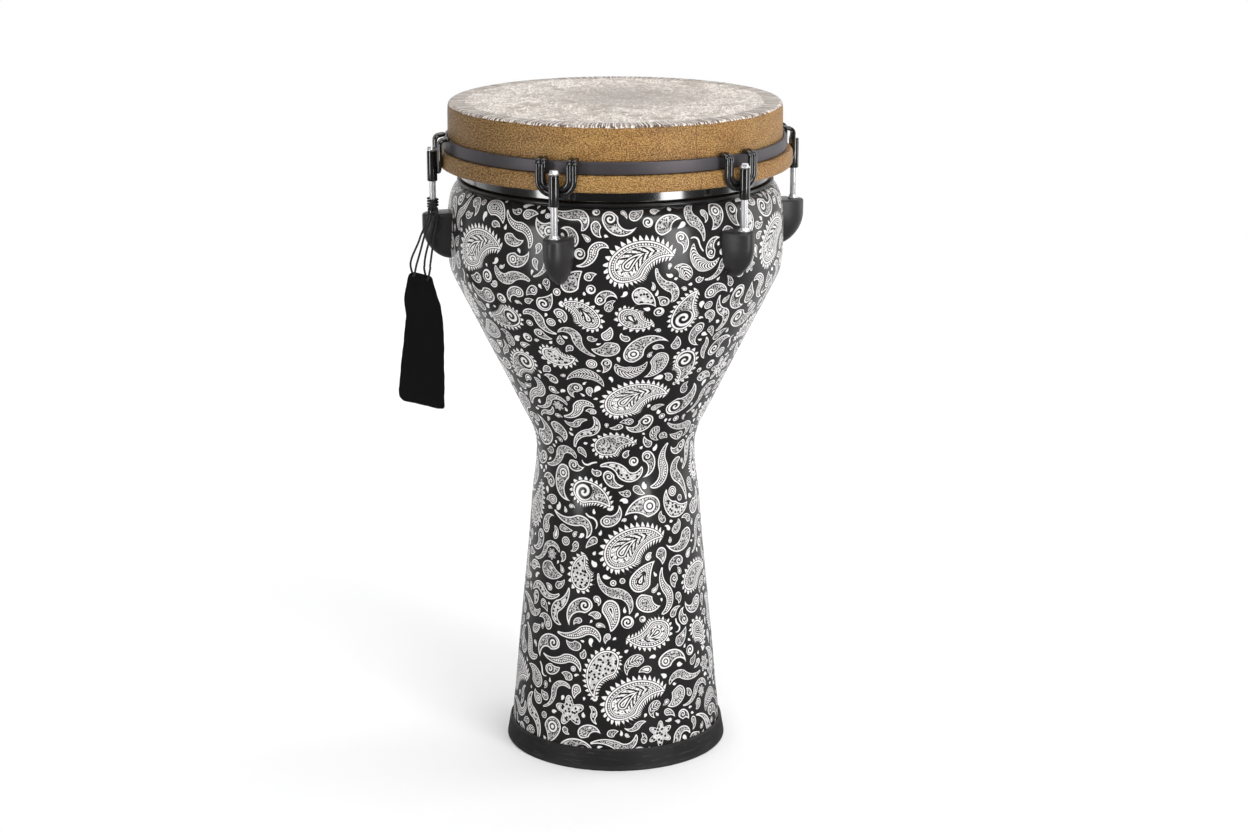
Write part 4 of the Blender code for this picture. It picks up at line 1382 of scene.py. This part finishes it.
def film_mesh():
    """The film with its torn edge lying on the skirt."""
    steps, segments = 12, 288
    verts, rings = [], []

    def ring(place):
        rings.append(list(range(len(verts), len(verts) + segments)))
        for j in range(segments):
            angle = TAU * j / segments
            verts.append(polar(*place(angle)))

    def flat(radius, height):
        ring(lambda angle: (radius, angle, height))

    def wrap(share, thick_r, thick_h):
        def place(angle):
            bend = math.pi / 2 + (torn_edge(angle) - math.pi / 2) * share
            return (RIM_AT + (RIM_RADIUS - thick_r) * math.cos(bend), angle,
                    RIM_HEIGHT + (RIM_RADIUS - thick_h) * math.sin(bend))
        ring(place)

    for radius in (12.0, 34.0, 60.0, 86.0, 108.0, 124.0, 136.0, 144.0):
        flat(radius, FILM_TOP)
    for k in range(steps + 1):
        wrap(k / steps, 0.0, 0.0)
    for k in range(steps, -1, -1):
        wrap(k / steps, FILM_WRAP, FILM_WRAP if k / steps > 0.3 else 0.7)
    for radius in (124.0, 60.0):
        flat(radius, FILM_TOP - FILM_THICK)
    faces = []
    for first, second in zip(rings, rings[1:]):
        faces += ring_faces(first, second, along=True)
    centre = len(verts)
    verts += [(0, 0, level(FILM_TOP)), (0, 0, level(FILM_TOP - FILM_THICK))]
    for j in range(segments):
        k = (j + 1) % segments
        faces.append((rings[0][k], rings[0][j], centre))
        faces.append((rings[-1][j], rings[-1][k], centre + 1))
    return smooth(solid("film_sheet", verts, faces), 50.0)


def skirt_mesh():
    under = RIM_RADIUS - 0.45
    arc = [(RIM_AT + under * math.cos(math.radians(degrees)),
            RIM_HEIGHT + under * math.sin(math.radians(degrees)))
           for degrees in range(74, -1, -8)]
    bottom = bottom_of("head_skirt")
    side = [(151.8, 600.0, 0.0), (SHEET_RADIUS, bottom, 0.7), (146.8, bottom, 0.6),
            (146.8, 608.4, 0.0)]
    return lathe("skirt_shell", arc + rounded(side), RING)


finish_piece(film_mesh(), "head", film_material(), "head_film")
FLECK = fleck_material()
finish_piece(skirt_mesh(), "head", FLECK, "head_skirt")
finish_piece(lathe("flesh_hoop_fleck", rounded(HOOP), RING), "head", FLECK,
             "flesh_hoop")
finish_piece(lathe("counter_hoop_band", rounded(BAND), RING), "head", band_material(),
             "counter_hoop")

# ---------------------------------------------------------------------------------------
# six tuning stations; a station's own frame has its Z axis down the rod and +y outwards
# ---------------------------------------------------------------------------------------
STATIONS = 6
ROD_CIRCLE = 168.0                    # nominal radius of the rods' circle
LUG_SEAT = 153.2                      # radius of the shell behind the lugs
ROD_TOP = top_of("tuning_rod_1")
BARREL_TOP = ROD_TOP - 4.4
BARREL_RADIUS = 4.6
ROD_RADIUS = 3.0
THREAD_TOP = 512.0
THREAD_LENGTH = 24.0


def station(k):
    low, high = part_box(f"tuning_rod_{k + 1}")
    centre = (low + high) / 2
    angle = math.atan2(centre.x, -centre.y)
    radius = math.hypot(centre.x, centre.y) / MM
    x, y, z = polar(radius, angle, 0.0)
    return Matrix.Translation((x, y, z)) @ Matrix.Rotation(angle + math.pi, 4, "Z")


def repeat(master, names, body, material, nodes):
    """Copies of a master piece at the stations; % in a name takes the station's number."""
    for k in range(STATIONS):
        number = str(k + 1)
        name = names.replace("%", number)
        mesh = master.data.copy()
        mesh.transform(station(k))
        mesh.name = name
        finish_piece(new_object(name, mesh), body.replace("%", number), material,
                     nodes.replace("%", number))
    bpy.data.objects.remove(master)


def bore(name, radius, bottom, top, segments=40):
    return local_lathe(name, [(0.0, bottom), (radius, bottom), (radius, top), (0.0, top)],
                       segments, closed=False)


CLAW_PLANE = -4.9                     # y of the U's middle plane
CLAW_HALF = 5.0                       # half the strip's width
ARCH_AT = (-9.4, 576.0)               # (y, height) of the centre of the arch over the hoop
CLAW_FADE = 7                         # samples over which each end narrows
LEG_X = 14.0


def claw_line():
    """Middle line of the strip, from one hooked end round the U to the other."""
    side = [(-13.9, 580.75), (-12.9, 580.95), (-11.2, 580.75), (-9.4, 580.3)]
    for degrees in range(75, -1, -15):
        angle = math.radians(degrees)
        side.append((ARCH_AT[0] + 4.5 * math.cos(angle), ARCH_AT[1] + 4.3 * math.sin(angle)))
    path = [(LEG_X, y, h) for y, h in side]
    path += [(LEG_X, CLAW_PLANE, 570.0), (LEG_X, CLAW_PLANE, 565.5)]
    for degrees in range(0, 91, 15):
        angle = math.radians(degrees)
        path.append((3.8 + 10.2 * math.cos(angle), CLAW_PLANE, 563.6 - 10.3 * math.sin(angle)))
    path.append((0.0, CLAW_PLANE, 553.3))
    return spline(path + [(-x, y, h) for x, y, h in reversed(path[:-1])], 220)


def claw_section():
    """(across, outwards): two ribs in front, a flat back with eased edges."""
    section = []
    shares = np.linspace(-1, 1, 25)
    for share in shares:
        rib = math.sqrt(max(0.0, 1 - ((abs(share) * CLAW_HALF - 2.55) / 2.45) ** 2))
        section.append((share * CLAW_HALF, 0.1 + 1.75 * rib))
    for share in shares[::-1][1:-1]:
        from_edge = (1 - abs(share)) * CLAW_HALF
        section.append((share * CLAW_HALF, -1.6 + max(0.0, 0.8 - from_edge) * 0.9))
    return section


def claw_master():
    """One ribbed strip bent into a U whose ends hook over the hoop, plus the rod's barrel."""
    line, section = claw_line(), claw_section()
    along = tangents(line)
    count = len(line)
    verts, faces = [], []
    for i, (x, y, height) in enumerate(line):
        # across the strip: sideways on the arches, in the U's plane below, outwards of the U
        if abs(y - CLAW_PLANE) > 0.05 or height > 572:
            across = np.array([1.0 if x > 0 else -1.0, 0.0, 0.0])
        else:
            across = np.cross(np.array([0.0, 1.0, 0.0]), along[i])
            across /= np.linalg.norm(across)
            if np.dot(across, np.array([x, 0.0, height - 566.0])) < 0:
                across = -across
        outward = np.cross(along[i], across)
        if height < ARCH_AT[1]:
            facing = np.array([0, 1.0, 0])
        else:
            facing = np.array([0, y - ARCH_AT[0], height - ARCH_AT[1]])
        if outward @ facing < 0:
            outward = -outward
        to_end = min(i, count - 1 - i)
        fade = math.sqrt(max(0.0, 1 - (1 - min(to_end / CLAW_FADE, 1.0)) ** 2))
        full = min(1.0, fade * 0.72 + 0.28)
        for side, out in section:
            out = 0.1 + (out - 0.1) * (0.45 + 0.55 * full)
            point = line[i] + across * side * (0.62 + 0.38 * full) + outward * out
            verts.append(tuple(point * MM))
    rings = rings_of(count, len(section))
    for first, second in zip(rings, rings[1:]):
        faces += ring_faces(first, second, along=True)
    faces += [tuple(rings[0]), tuple(reversed(rings[-1]))]
    strip = solid("claw_strip", verts, faces)
    bottom = bottom_of("claw_1")
    barrel = rounded([(0.0, bottom, 0.0), (BARREL_RADIUS, bottom, 0.7),
                      (BARREL_RADIUS, BARREL_TOP, 0.7), (0.0, BARREL_TOP, 0.0)])
    cut(strip, local_lathe("claw_barrel", barrel, 48, closed=False), "UNION")
    cut(strip, bore("claw_bore", 3.25, 530.0, 600.0))
    return smooth(strip, 40.0)


# (radius, depth below the rod's top): the square head, then the round flange
ROD_HEAD = [(0.0, 0.0), (1.4, 0.06), (2.4, 0.3), (2.95, 0.75), (3.1, 1.4), (3.15, 2.55)]
ROD_FLANGE = [(4.1, 2.65), (4.5, 2.8), (BARREL_RADIUS, 3.1)]


def thread_mesh():
    rows, segments = 96, 24
    pitch, thread_depth, end_chamfer = 1.0, 0.55, 0.5
    verts, faces = [], []
    for i in range(rows + 1):
        height = THREAD_TOP - THREAD_LENGTH * i / rows
        run_in = min(1.0, (THREAD_TOP + 0.3 - height) / 2.0)
        for j in range(segments):
            angle = TAU * j / segments
            phase = (height / pitch - angle / TAU) % 1.0
            r = (ROD_RADIUS - thread_depth * (1 - abs(2 * phase - 1)) * run_in
                 - (end_chamfer if i == rows else 0.0))
            verts.append((r * MM * math.sin(angle), -r * MM * math.cos(angle), height * MM))
    rings = rings_of(rows + 1, segments)
    for first, second in zip(rings, rings[1:]):
        faces += ring_faces(first, second)
    faces += [tuple(rings[0]), tuple(reversed(rings[-1]))]
    return solid("thread", verts, faces)


def rod_master():
    def square_head(row, angle):
        if not 1 <= row < len(ROD_HEAD):
            return 1.0
        cosine, sine = abs(math.cos(angle + math.pi / 4)), abs(math.sin(angle + math.pi / 4))
        return 1.0 / (cosine ** 7 + sine ** 7) ** (1 / 7.0)

    flange_low = BARREL_TOP + 0.3
    profile = [(r, ROD_TOP - depth) for r, depth in ROD_HEAD + ROD_FLANGE]
    profile += [(BARREL_RADIUS, flange_low + 0.3), (4.45, flange_low), (ROD_RADIUS, flange_low),
                (ROD_RADIUS, THREAD_TOP + 0.5), (2.9, THREAD_TOP), (0.0, THREAD_TOP)]
    rod = local_lathe("rod", profile, 48, closed=False, shape=square_head, sharp=30.0)
    return smooth(join("rod", rod, thread_mesh()), 30.0)


LUG_HALF_WIDTH = 13.0
LUG_REACH = 24.6                      # outwards from the seat
LUG_TOP = 513.0
LUG_HEIGHT = 43.0


def lug_master():
    """A pointed half dome on the shell with a nut pocket, a rod bore and a screw bore."""
    profile = [(0.0, LUG_TOP), (10.9, LUG_TOP), (11.9, 512.7), (12.6, 512.1), (12.93, 511.2),
               (LUG_HALF_WIDTH, 510.2), (LUG_HALF_WIDTH, 505.0), (LUG_HALF_WIDTH, 500.1)]
    for i in range(1, 25):
        share = i / 24.0
        profile.append((LUG_HALF_WIDTH * max(0.0, 1.0 - share ** 2.0) ** 0.62,
                        LUG_TOP - LUG_HEIGHT * (0.3 + 0.7 * share)))
    lug = local_lathe("lug", profile, 72, closed=False)
    for vertex in lug.data.vertices:
        vertex.co.y *= LUG_REACH / LUG_HALF_WIDTH
    seat = (LUG_SEAT - ROD_CIRCLE) * MM
    lug.data.transform(Matrix.Translation((0, seat, 0)))
    downs = np.linspace(0, LENGTH, 90)
    clear = [(r + 0.16, h) for r, h in zip(radius_at(downs), height_at(downs))]
    shell_body = lathe("around", [(0.0, 545.0), (140.5, 545.0)] + clear + [(0.0, 4.0)], 180,
                       closed=False)
    shell_body.data.transform(station(0).inverted())
    cut(lug, shell_body)
    cut(lug, box_mesh("pocket", (-5.3, 5.3), (-24.0, 5.3), (495.7, 508.3)))
    cut(lug, bore("bore", 3.5, 486.0, 530.0))
    screw = bore("screw_bore", 2.75, -10.0, 11.0, segments=32)
    screw.data.transform(Matrix.Translation((0, seat, 480.0 * MM))
                         @ Matrix.Rotation(-math.pi / 2, 4, "X"))
    cut(lug, screw)
    return smooth(lug, 38.0)


FERRULE = [(3.7, 516.3, 0.2), (4.3, 514.6, 0.8), (5.2, 514.1, 0.3), (5.2, 513.3, 0.2),
           (3.2, 513.3, 0.1), (3.2, 516.3, 0.1)]
CHROME = chrome_material()
repeat(claw_master(), "claw_cast_%", "head", claw_material(), "claw_%")
repeat(rod_master(), "rod_chrome_%", "rod_%", CHROME, "tuning_rod_%")
repeat(local_lathe("ferrule", rounded(FERRULE), 40), "ferrule_chrome_%", "root", CHROME,
       "rod_ferrule_%")
repeat(lug_master(), "lug_satin_%", "root", lug_material(), "lug_casing_%")

# the CAD nuts and screws stay, in zinc and with eased edges (bevel widths in metres)
ZINC = zinc_material()
for k in range(STATIONS):
    for node, width in (("lug_nut", 0.0005), ("lug_screw", 0.0003)):
        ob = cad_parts[f"{node}_{k + 1}"]
        ob.data.materials.clear()
        ob.data.materials.append(ZINC)
        bevel = ob.modifiers.new("edge", "BEVEL")
        bevel.width = width
        bevel.segments = 2
        bevel.limit_method = "ANGLE"
        bevel.angle_limit = math.radians(40)

# ---------------------------------------------------------------------------------------
# tag, cords and knot on the sixth rod, in (r outwards, t towards rising azimuth, height)
# ---------------------------------------------------------------------------------------
HANG = station(5)
CORD_RADIUS = 1.0
CORD_T = 14.6                         # t where the cords leave the knot


def at_hang(r, t, height):
    return HANG @ Vector((-t * MM, r * MM, height * MM))


# (r, height, corner radius)
TAG = [(25.0, 464.0, 5.0), (30.4, 437.0, 12.0), (28.6, 421.0, 12.0), (33.0, 388.0, 40.0),
       (37.0, 354.8, 5.0), (36.2, 347.0, 5.0), (33.0, 343.2, 5.0), (0.7, 333.0, 6.0),
       (-5.8, 332.0, 2.2), (-5.8, 411.8, 14.0), (-3.1, 430.8, 14.0), (4.4, 457.4, 5.0)]
TAG_T = 16.6
TAG_HALF = 1.15                       # half thickness
TAG_EASE = 1.5                        # distance over which the edge rounds off
HOLES = ((21.0, 458.5), (8.6, 454.5))
HOLE_RADIUS = 1.04


def tag_edge():
    """Evenly spaced edge points with a soft wander, their normals, and whether they run
    anticlockwise in (r, height)."""
    count = 200
    ring = np.array(rounded(TAG, steps=4))
    ring = np.vstack([ring, ring[:1]])
    dist = np.r_[0, np.cumsum(np.linalg.norm(np.diff(ring, axis=0), axis=1))]
    at = np.linspace(0, dist[-1], count, endpoint=False)
    edge = np.stack([np.interp(at, dist, ring[:, 0]), np.interp(at, dist, ring[:, 1])], 1)
    step = np.roll(edge, -1, 0) - np.roll(edge, 1, 0)
    normal = np.stack([step[:, 1], -step[:, 0]], 1)
    normal /= np.linalg.norm(normal, axis=1)[:, None]
    area = 0.5 * np.sum(edge[:, 0] * np.roll(edge[:, 1], -1)
                        - np.roll(edge[:, 0], -1) * edge[:, 1])
    if area < 0:
        normal = -normal
    phase = at / dist[-1] * TAU
    wander = 0.18 + 0.18 * np.sin(9 * phase + 1.0) + 0.10 * np.sin(23 * phase)
    return edge - normal * wander[:, None], normal, area > 0


def tag_wave(r, height):
    """Sideways waves that grow down the tag."""
    down = (464.0 - height) / 132.0
    return (1.5 * down * math.sin(0.085 * r + 0.031 * height + 0.6)
            + 0.9 * down * down * math.sin(0.052 * height)
            + 0.35 * math.sin(0.16 * r - 0.06 * height) * down)


def tag_mesh():
    """A soft suede panel: rounded edges, gentle waves and two eyelets."""
    edge, normal, anticlockwise = tag_edge()
    next_edge = np.roll(edge, -1, 0)

    def within(x, y):
        x0, y0, x1, y1 = edge[:, 0], edge[:, 1], next_edge[:, 0], next_edge[:, 1]
        rise = np.where(y1 == y0, 1e-9, y1 - y0)
        hit = ((y0 > y) != (y1 > y)) & (x < (x1 - x0) * (y - y0) / rise + x0)
        return bool(hit.sum() % 2)

    def depth(x, y):
        """Distance from the nearest edge."""
        nearest = float(np.min(np.hypot(edge[:, 0] - x, edge[:, 1] - y)))
        for r, h in HOLES:
            nearest = min(nearest, abs(math.hypot(x - r, y - h) - HOLE_RADIUS))
        return nearest

    points = [tuple(point) for point in edge]
    panel = list(range(len(edge)))
    for inset, every in ((0.35, 1), (0.85, 2), (1.5, 2)):
        points += [tuple(point) for point in (edge - normal * inset)[::every]]
    around = 20
    edges = []
    for r, h in HOLES:
        for extra in (0.0, 0.35, 0.95):
            base = len(points)
            radius = HOLE_RADIUS + extra
            points += [(r + radius * math.cos(TAU * k / around),
                        h + radius * math.sin(TAU * k / around)) for k in range(around)]
            if extra == 0.0:
                edges += [(base + k, base + (k + 1) % around) for k in range(around)]
    for x in np.arange(-6.0, 38.0, 2.6):
        for y in np.arange(331.0, 466.0, 2.6):
            if within(x, y) and depth(x, y) > 2.6:
                points.append((float(x), float(y)))
    flat, _, faces, *_ = delaunay_2d_cdt(
        [Vector(point) for point in points], edges, [panel if anticlockwise else panel[::-1]],
        1, 1e-6, True)
    triangles = []
    for face in faces:
        centre = sum((Vector(flat[i]) for i in face), Vector((0, 0))) / 3
        if within(centre.x, centre.y) and all(
                math.hypot(centre.x - r, centre.y - h) > HOLE_RADIUS - 0.02 for r, h in HOLES):
            triangles.append(tuple(face))
    sides = Counter(tuple(sorted((face[a], face[b])))
                    for face in triangles for a, b in ((0, 1), (1, 2), (2, 0)))
    border = {i for side, count in sides.items() if count == 1 for i in side}

    verts, front, back = [], {}, {}
    for i in sorted({i for face in triangles for i in face}):
        r, h = flat[i]
        middle = TAG_T + tag_wave(r, h)
        if i in border:
            front[i] = back[i] = len(verts)
            verts.append(tuple(at_hang(r, middle, h)))
        else:
            ease = 1 - min(depth(r, h) / TAG_EASE, 1.0)
            thick = TAG_HALF * math.sqrt(max(0.0, 1 - ease ** 2))
            front[i] = len(verts)
            back[i] = len(verts) + 1
            verts.append(tuple(at_hang(r, middle + thick, h)))
            verts.append(tuple(at_hang(r, middle - thick, h)))
    ob = solid("tag_suede", verts, [tuple(front[i] for i in face) for face in triangles]
               + [tuple(back[i] for i in reversed(face)) for face in triangles])
    ob.data.shade_smooth()
    return ob


def cord_path(down_r, up_r, hole, sway):
    """From the knot at r = down_r, through an eyelet and back to r = up_r."""
    hole_r, hole_h = hole
    knot_h = 517.0
    halfway = (knot_h + hole_h) / 2 + 4
    path = spline([
        (down_r, CORD_T - 0.6, knot_h + 1.5),
        (down_r, CORD_T, knot_h - 2.5),
        (down_r + (hole_r - 2.2 - down_r) * 0.5, CORD_T + 0.4, halfway),
        (hole_r - 2.0, TAG_T + 2.5, hole_h + 8.0),
        (hole_r - 0.6, TAG_T + 2.7, hole_h + 2.2),
        (hole_r, TAG_T + 1.9, hole_h + 0.3),
        (hole_r, TAG_T, hole_h - 0.1),
        (hole_r, TAG_T - 1.9, hole_h + 0.3),
        (hole_r + 0.6, TAG_T - 2.7, hole_h + 2.2),
        (hole_r + 2.0, TAG_T - 2.4, hole_h + 8.0),
        (up_r + (hole_r + 2.2 - up_r) * 0.5, CORD_T - 0.4, halfway),
        (up_r, CORD_T, knot_h - 2.5),
        (up_r, CORD_T - 0.6, knot_h + 1.5)], 240)
    share = np.linspace(0, 1, 240)
    wander = 0.45 * np.sin(TAU * 2.5 * share + sway) * np.sin(np.pi * share)
    path[:, 0] += wander * (path[:, 2] > hole_h + 12)
    return [at_hang(*point) for point in path]


def knot_mesh():
    """Turns round the rod, a hitch beside it, and the four strands that leave it."""
    turns = 3.0
    wraps, hitch = [], []
    for i in range(140):
        share = i / 139
        angle = TAU * turns * share
        r = 4.3 + 0.15 * math.sin(5 * angle)
        wraps.append(at_hang(r * math.cos(angle), r * math.sin(angle),
                             518.2 + 7.4 * share + 0.3 * math.sin(3 * angle)))
    for i in range(120):
        share = i / 119
        angle = TAU * turns * share
        hitch.append(at_hang(1.2 + 2.7 * math.cos(angle), 6.6 + 5.0 * share,
                             520.6 + 2.8 * math.sin(angle) - 1.6 * share))
    parts = [rope("wraps", wraps, 1.05, around=12), rope("hitch", hitch, CORD_RADIUS, around=12)]
    for end_r, offset in ((-1.9, 0.0), (0.5, 0.6), (3.3, -0.5), (5.7, 0.3)):
        points = [(1.0 + offset, 5.2, 521.5), (1.2 + offset * 0.7, 9.0, 520.6),
                  (1.2 + (end_r - 1.2) * 0.6, 12.6, 519.8), (end_r, 14.2, 518.6),
                  (end_r, CORD_T, 516.9)]
        path = [at_hang(*point) for point in spline(points, 40)]
        parts.append(rope("strand", path, CORD_RADIUS, around=10))
    knot = join("knot_wraps", *parts)
    knot.data.shade_smooth()
    return knot


SUEDE = suede_material()
CORD = cord_material()
finish_piece(tag_mesh(), "tag_flap", SUEDE, "tag")
# each cord runs from the knot through its eyelet and back, fixed in place with no body
for side, ends, hole, sway in (("outer", (3.3, 5.7), HOLES[0], 0.0),
                               ("inner", (-1.9, 0.5), HOLES[1], 2.0)):
    cord = rope(f"cord_twist_{side}", cord_path(*ends, hole, sway), CORD_RADIUS)
    at_hang(1.8, CORD_T, 517.4)
    at_hang(1.8, CORD_T, 508.5)
    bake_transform(cord)
    finish_piece(cord, None, CORD, f"tag_cord_{side}")
finish_piece(knot_mesh(), "tag_loop", CORD, "tag_knot")

# ---------------------------------------------------------------------------------------
# floor and backdrop, lights, world, camera; lengths in metres, light heights in mm
# ---------------------------------------------------------------------------------------
SWEEP_RADIUS = 1.0
SWEEP_BACK, SWEEP_FRONT = 3.4, -6.0
SWEEP_HALF = 8.0
SWEEP_HEIGHT = 6.0
SWEEP_DROP = 0.00005                  # below the floor level, clear of the foot


def paper_material():
    mat = Shader("studio_paper")
    place = mat.node("ShaderNodeNewGeometry").outputs["Position"]
    cloud = mat.noise(place, scale=0.8)
    white = mat.mix(cloud, under=(0.90, 0.90, 0.905), over=(0.92, 0.92, 0.92))
    mat.bsdf.inputs["Emission Color"].default_value = (1, 1, 1, 1)
    # far from the drum the camera sees plain white
    x, y, _ = mat.split(place)
    far = (x * x + y * y).sqrt().above(2.1, soft=1.0)
    plain = far * Value(mat, mat.node("ShaderNodeLightPath").outputs["Is Camera Ray"])
    mat.set(glow=plain.times(0.92, plus=0.08))
    # painted shade for reflections: glossy rays see the paper in front of the drum as dark grey
    glossy = Value(mat, mat.node("ShaderNodeLightPath").outputs["Is Glossy Ray"])
    white_and_reflected_shade = mat.mix(glossy * y.below(0.35, soft=0.7), white, over=(0.10, 0.10, 0.10))
    return mat.set(color=mat.mix(plain, white_and_reflected_shade, over=(0.0, 0.0, 0.0)), rough=0.9,
                   spec=0.1 * (1.0 - plain))


def studio_sweep():
    material = paper_material()
    start = SWEEP_BACK - SWEEP_RADIUS
    profile = [(SWEEP_FRONT, 0.0), (start, 0.0)]
    for k in range(1, 13):
        angle = math.pi / 2 * k / 12
        profile.append((start + SWEEP_RADIUS * math.sin(angle),
                        SWEEP_RADIUS - SWEEP_RADIUS * math.cos(angle)))
    profile.append((SWEEP_BACK, SWEEP_HEIGHT))
    verts = [(x, y, FLOOR - SWEEP_DROP + z) for y, z in profile for x in (-SWEEP_HALF, SWEEP_HALF)]
    faces = [(2 * i, 2 * i + 1, 2 * i + 3, 2 * i + 2) for i in range(len(profile) - 1)]
    mesh = bpy.data.meshes.new("studio_sweep")
    mesh.from_pydata(verts, [], faces)
    mesh.materials.append(material)
    mesh.shade_smooth()
    new_object("studio_sweep", mesh)


# name, (x, y, height), aimed at (x, y, height), (width, height) of the panel, watts
LIGHTS = [
    ("overhead", (0.3, -0.2, 2500), (0, 0, 330), (1.8, 1.8), 13.0),
    ("front_right_high", (1.3, -1.9, 2000), (0, 0, 330), (1.2, 1.0), 27.0),
    ("front_left_high", (-0.9, -2.2, 2100), (0, 0, 330), (1.2, 1.0), 15.0),
    ("left_box", (-1.674, -1.370, 405), (0, 0, 405), (0.50, 0.80), 9.5),
    ("right_box", (1.499, -1.749, 435), (0, 0, 435), (0.66, 0.86), 17.0),
    ("right_fill", (2.3, 0.6, 800), (0, 0, 350), (1.2, 1.8), 14.0),
    ("left_back", (-2.2, 1.3, 800), (0, 0, 350), (1.2, 1.8), 2.0),
    ("backdrop_wash", (0.0, 0.9, 2500), (0, 3.2, 700), (5.0, 1.0), 60.0)]


def area_light(name, place, target, size, power):
    light = bpy.data.lights.new(name, "AREA")
    light.shape = "RECTANGLE"
    light.size, light.size_y = size
    light.energy = power
    ob = bpy.data.objects.new(name, light)
    place, target = (Vector((x, y, level(h))) for x, y, h in (place, target))
    ob.location = place
    ob.rotation_mode = "QUATERNION"
    ob.rotation_quaternion = (target - place).to_track_quat("-Z", "Y")
    bpy.context.scene.collection.objects.link(ob)


def world_light():
    """White to the camera, dim light, and reflections that brighten towards the back."""
    ambient, seen_by_camera = 0.26, 1.0
    world = bpy.data.worlds.new("studio")
    bpy.context.scene.world = world
    world.use_nodes = True
    nodes, link = world.node_tree.nodes, world.node_tree.links.new
    background = nodes["Background"]
    background.inputs[0].default_value = (1.0, 1.0, 1.0, 1.0)
    coordinates = nodes.new("ShaderNodeTexCoord")
    axes = nodes.new("ShaderNodeSeparateXYZ")
    link(coordinates.outputs["Generated"], axes.inputs[0])
    ray = nodes.new("ShaderNodeLightPath")
    reflected = nodes.new("ShaderNodeMapRange")
    for key, value in (("From Min", -0.1), ("From Max", 0.5), ("To Min", 0.05), ("To Max", 0.8)):
        reflected.inputs[key].default_value = value
    link(axes.outputs[1], reflected.inputs["Value"])
    lighting = nodes.new("ShaderNodeMix")
    link(ray.outputs["Is Glossy Ray"], lighting.inputs[0])
    lighting.inputs[2].default_value = ambient
    link(reflected.outputs[0], lighting.inputs[3])
    seen = nodes.new("ShaderNodeMix")
    link(ray.outputs["Is Camera Ray"], seen.inputs[0])
    link(lighting.outputs[0], seen.inputs[2])
    seen.inputs[3].default_value = seen_by_camera
    link(seen.outputs[0], background.inputs[1])


def add_camera():
    scene = bpy.context.scene
    lens = bpy.data.cameras.new("camera")
    lens.lens = 78.72
    lens.sensor_width = 36.0
    lens.clip_start = 0.1
    lens.clip_end = 60.0
    camera = bpy.data.objects.new("camera", lens)
    camera.location = (0.0079, -2.457, level(978))
    pitch_down = 15.145
    camera.rotation_euler = (math.radians(90 - pitch_down), 0, 0)
    scene.collection.objects.link(camera)
    scene.camera = camera
    scene.view_settings.view_transform = "Standard"


studio_sweep()
for row in LIGHTS:
    area_light(*row)
world_light()
add_camera()
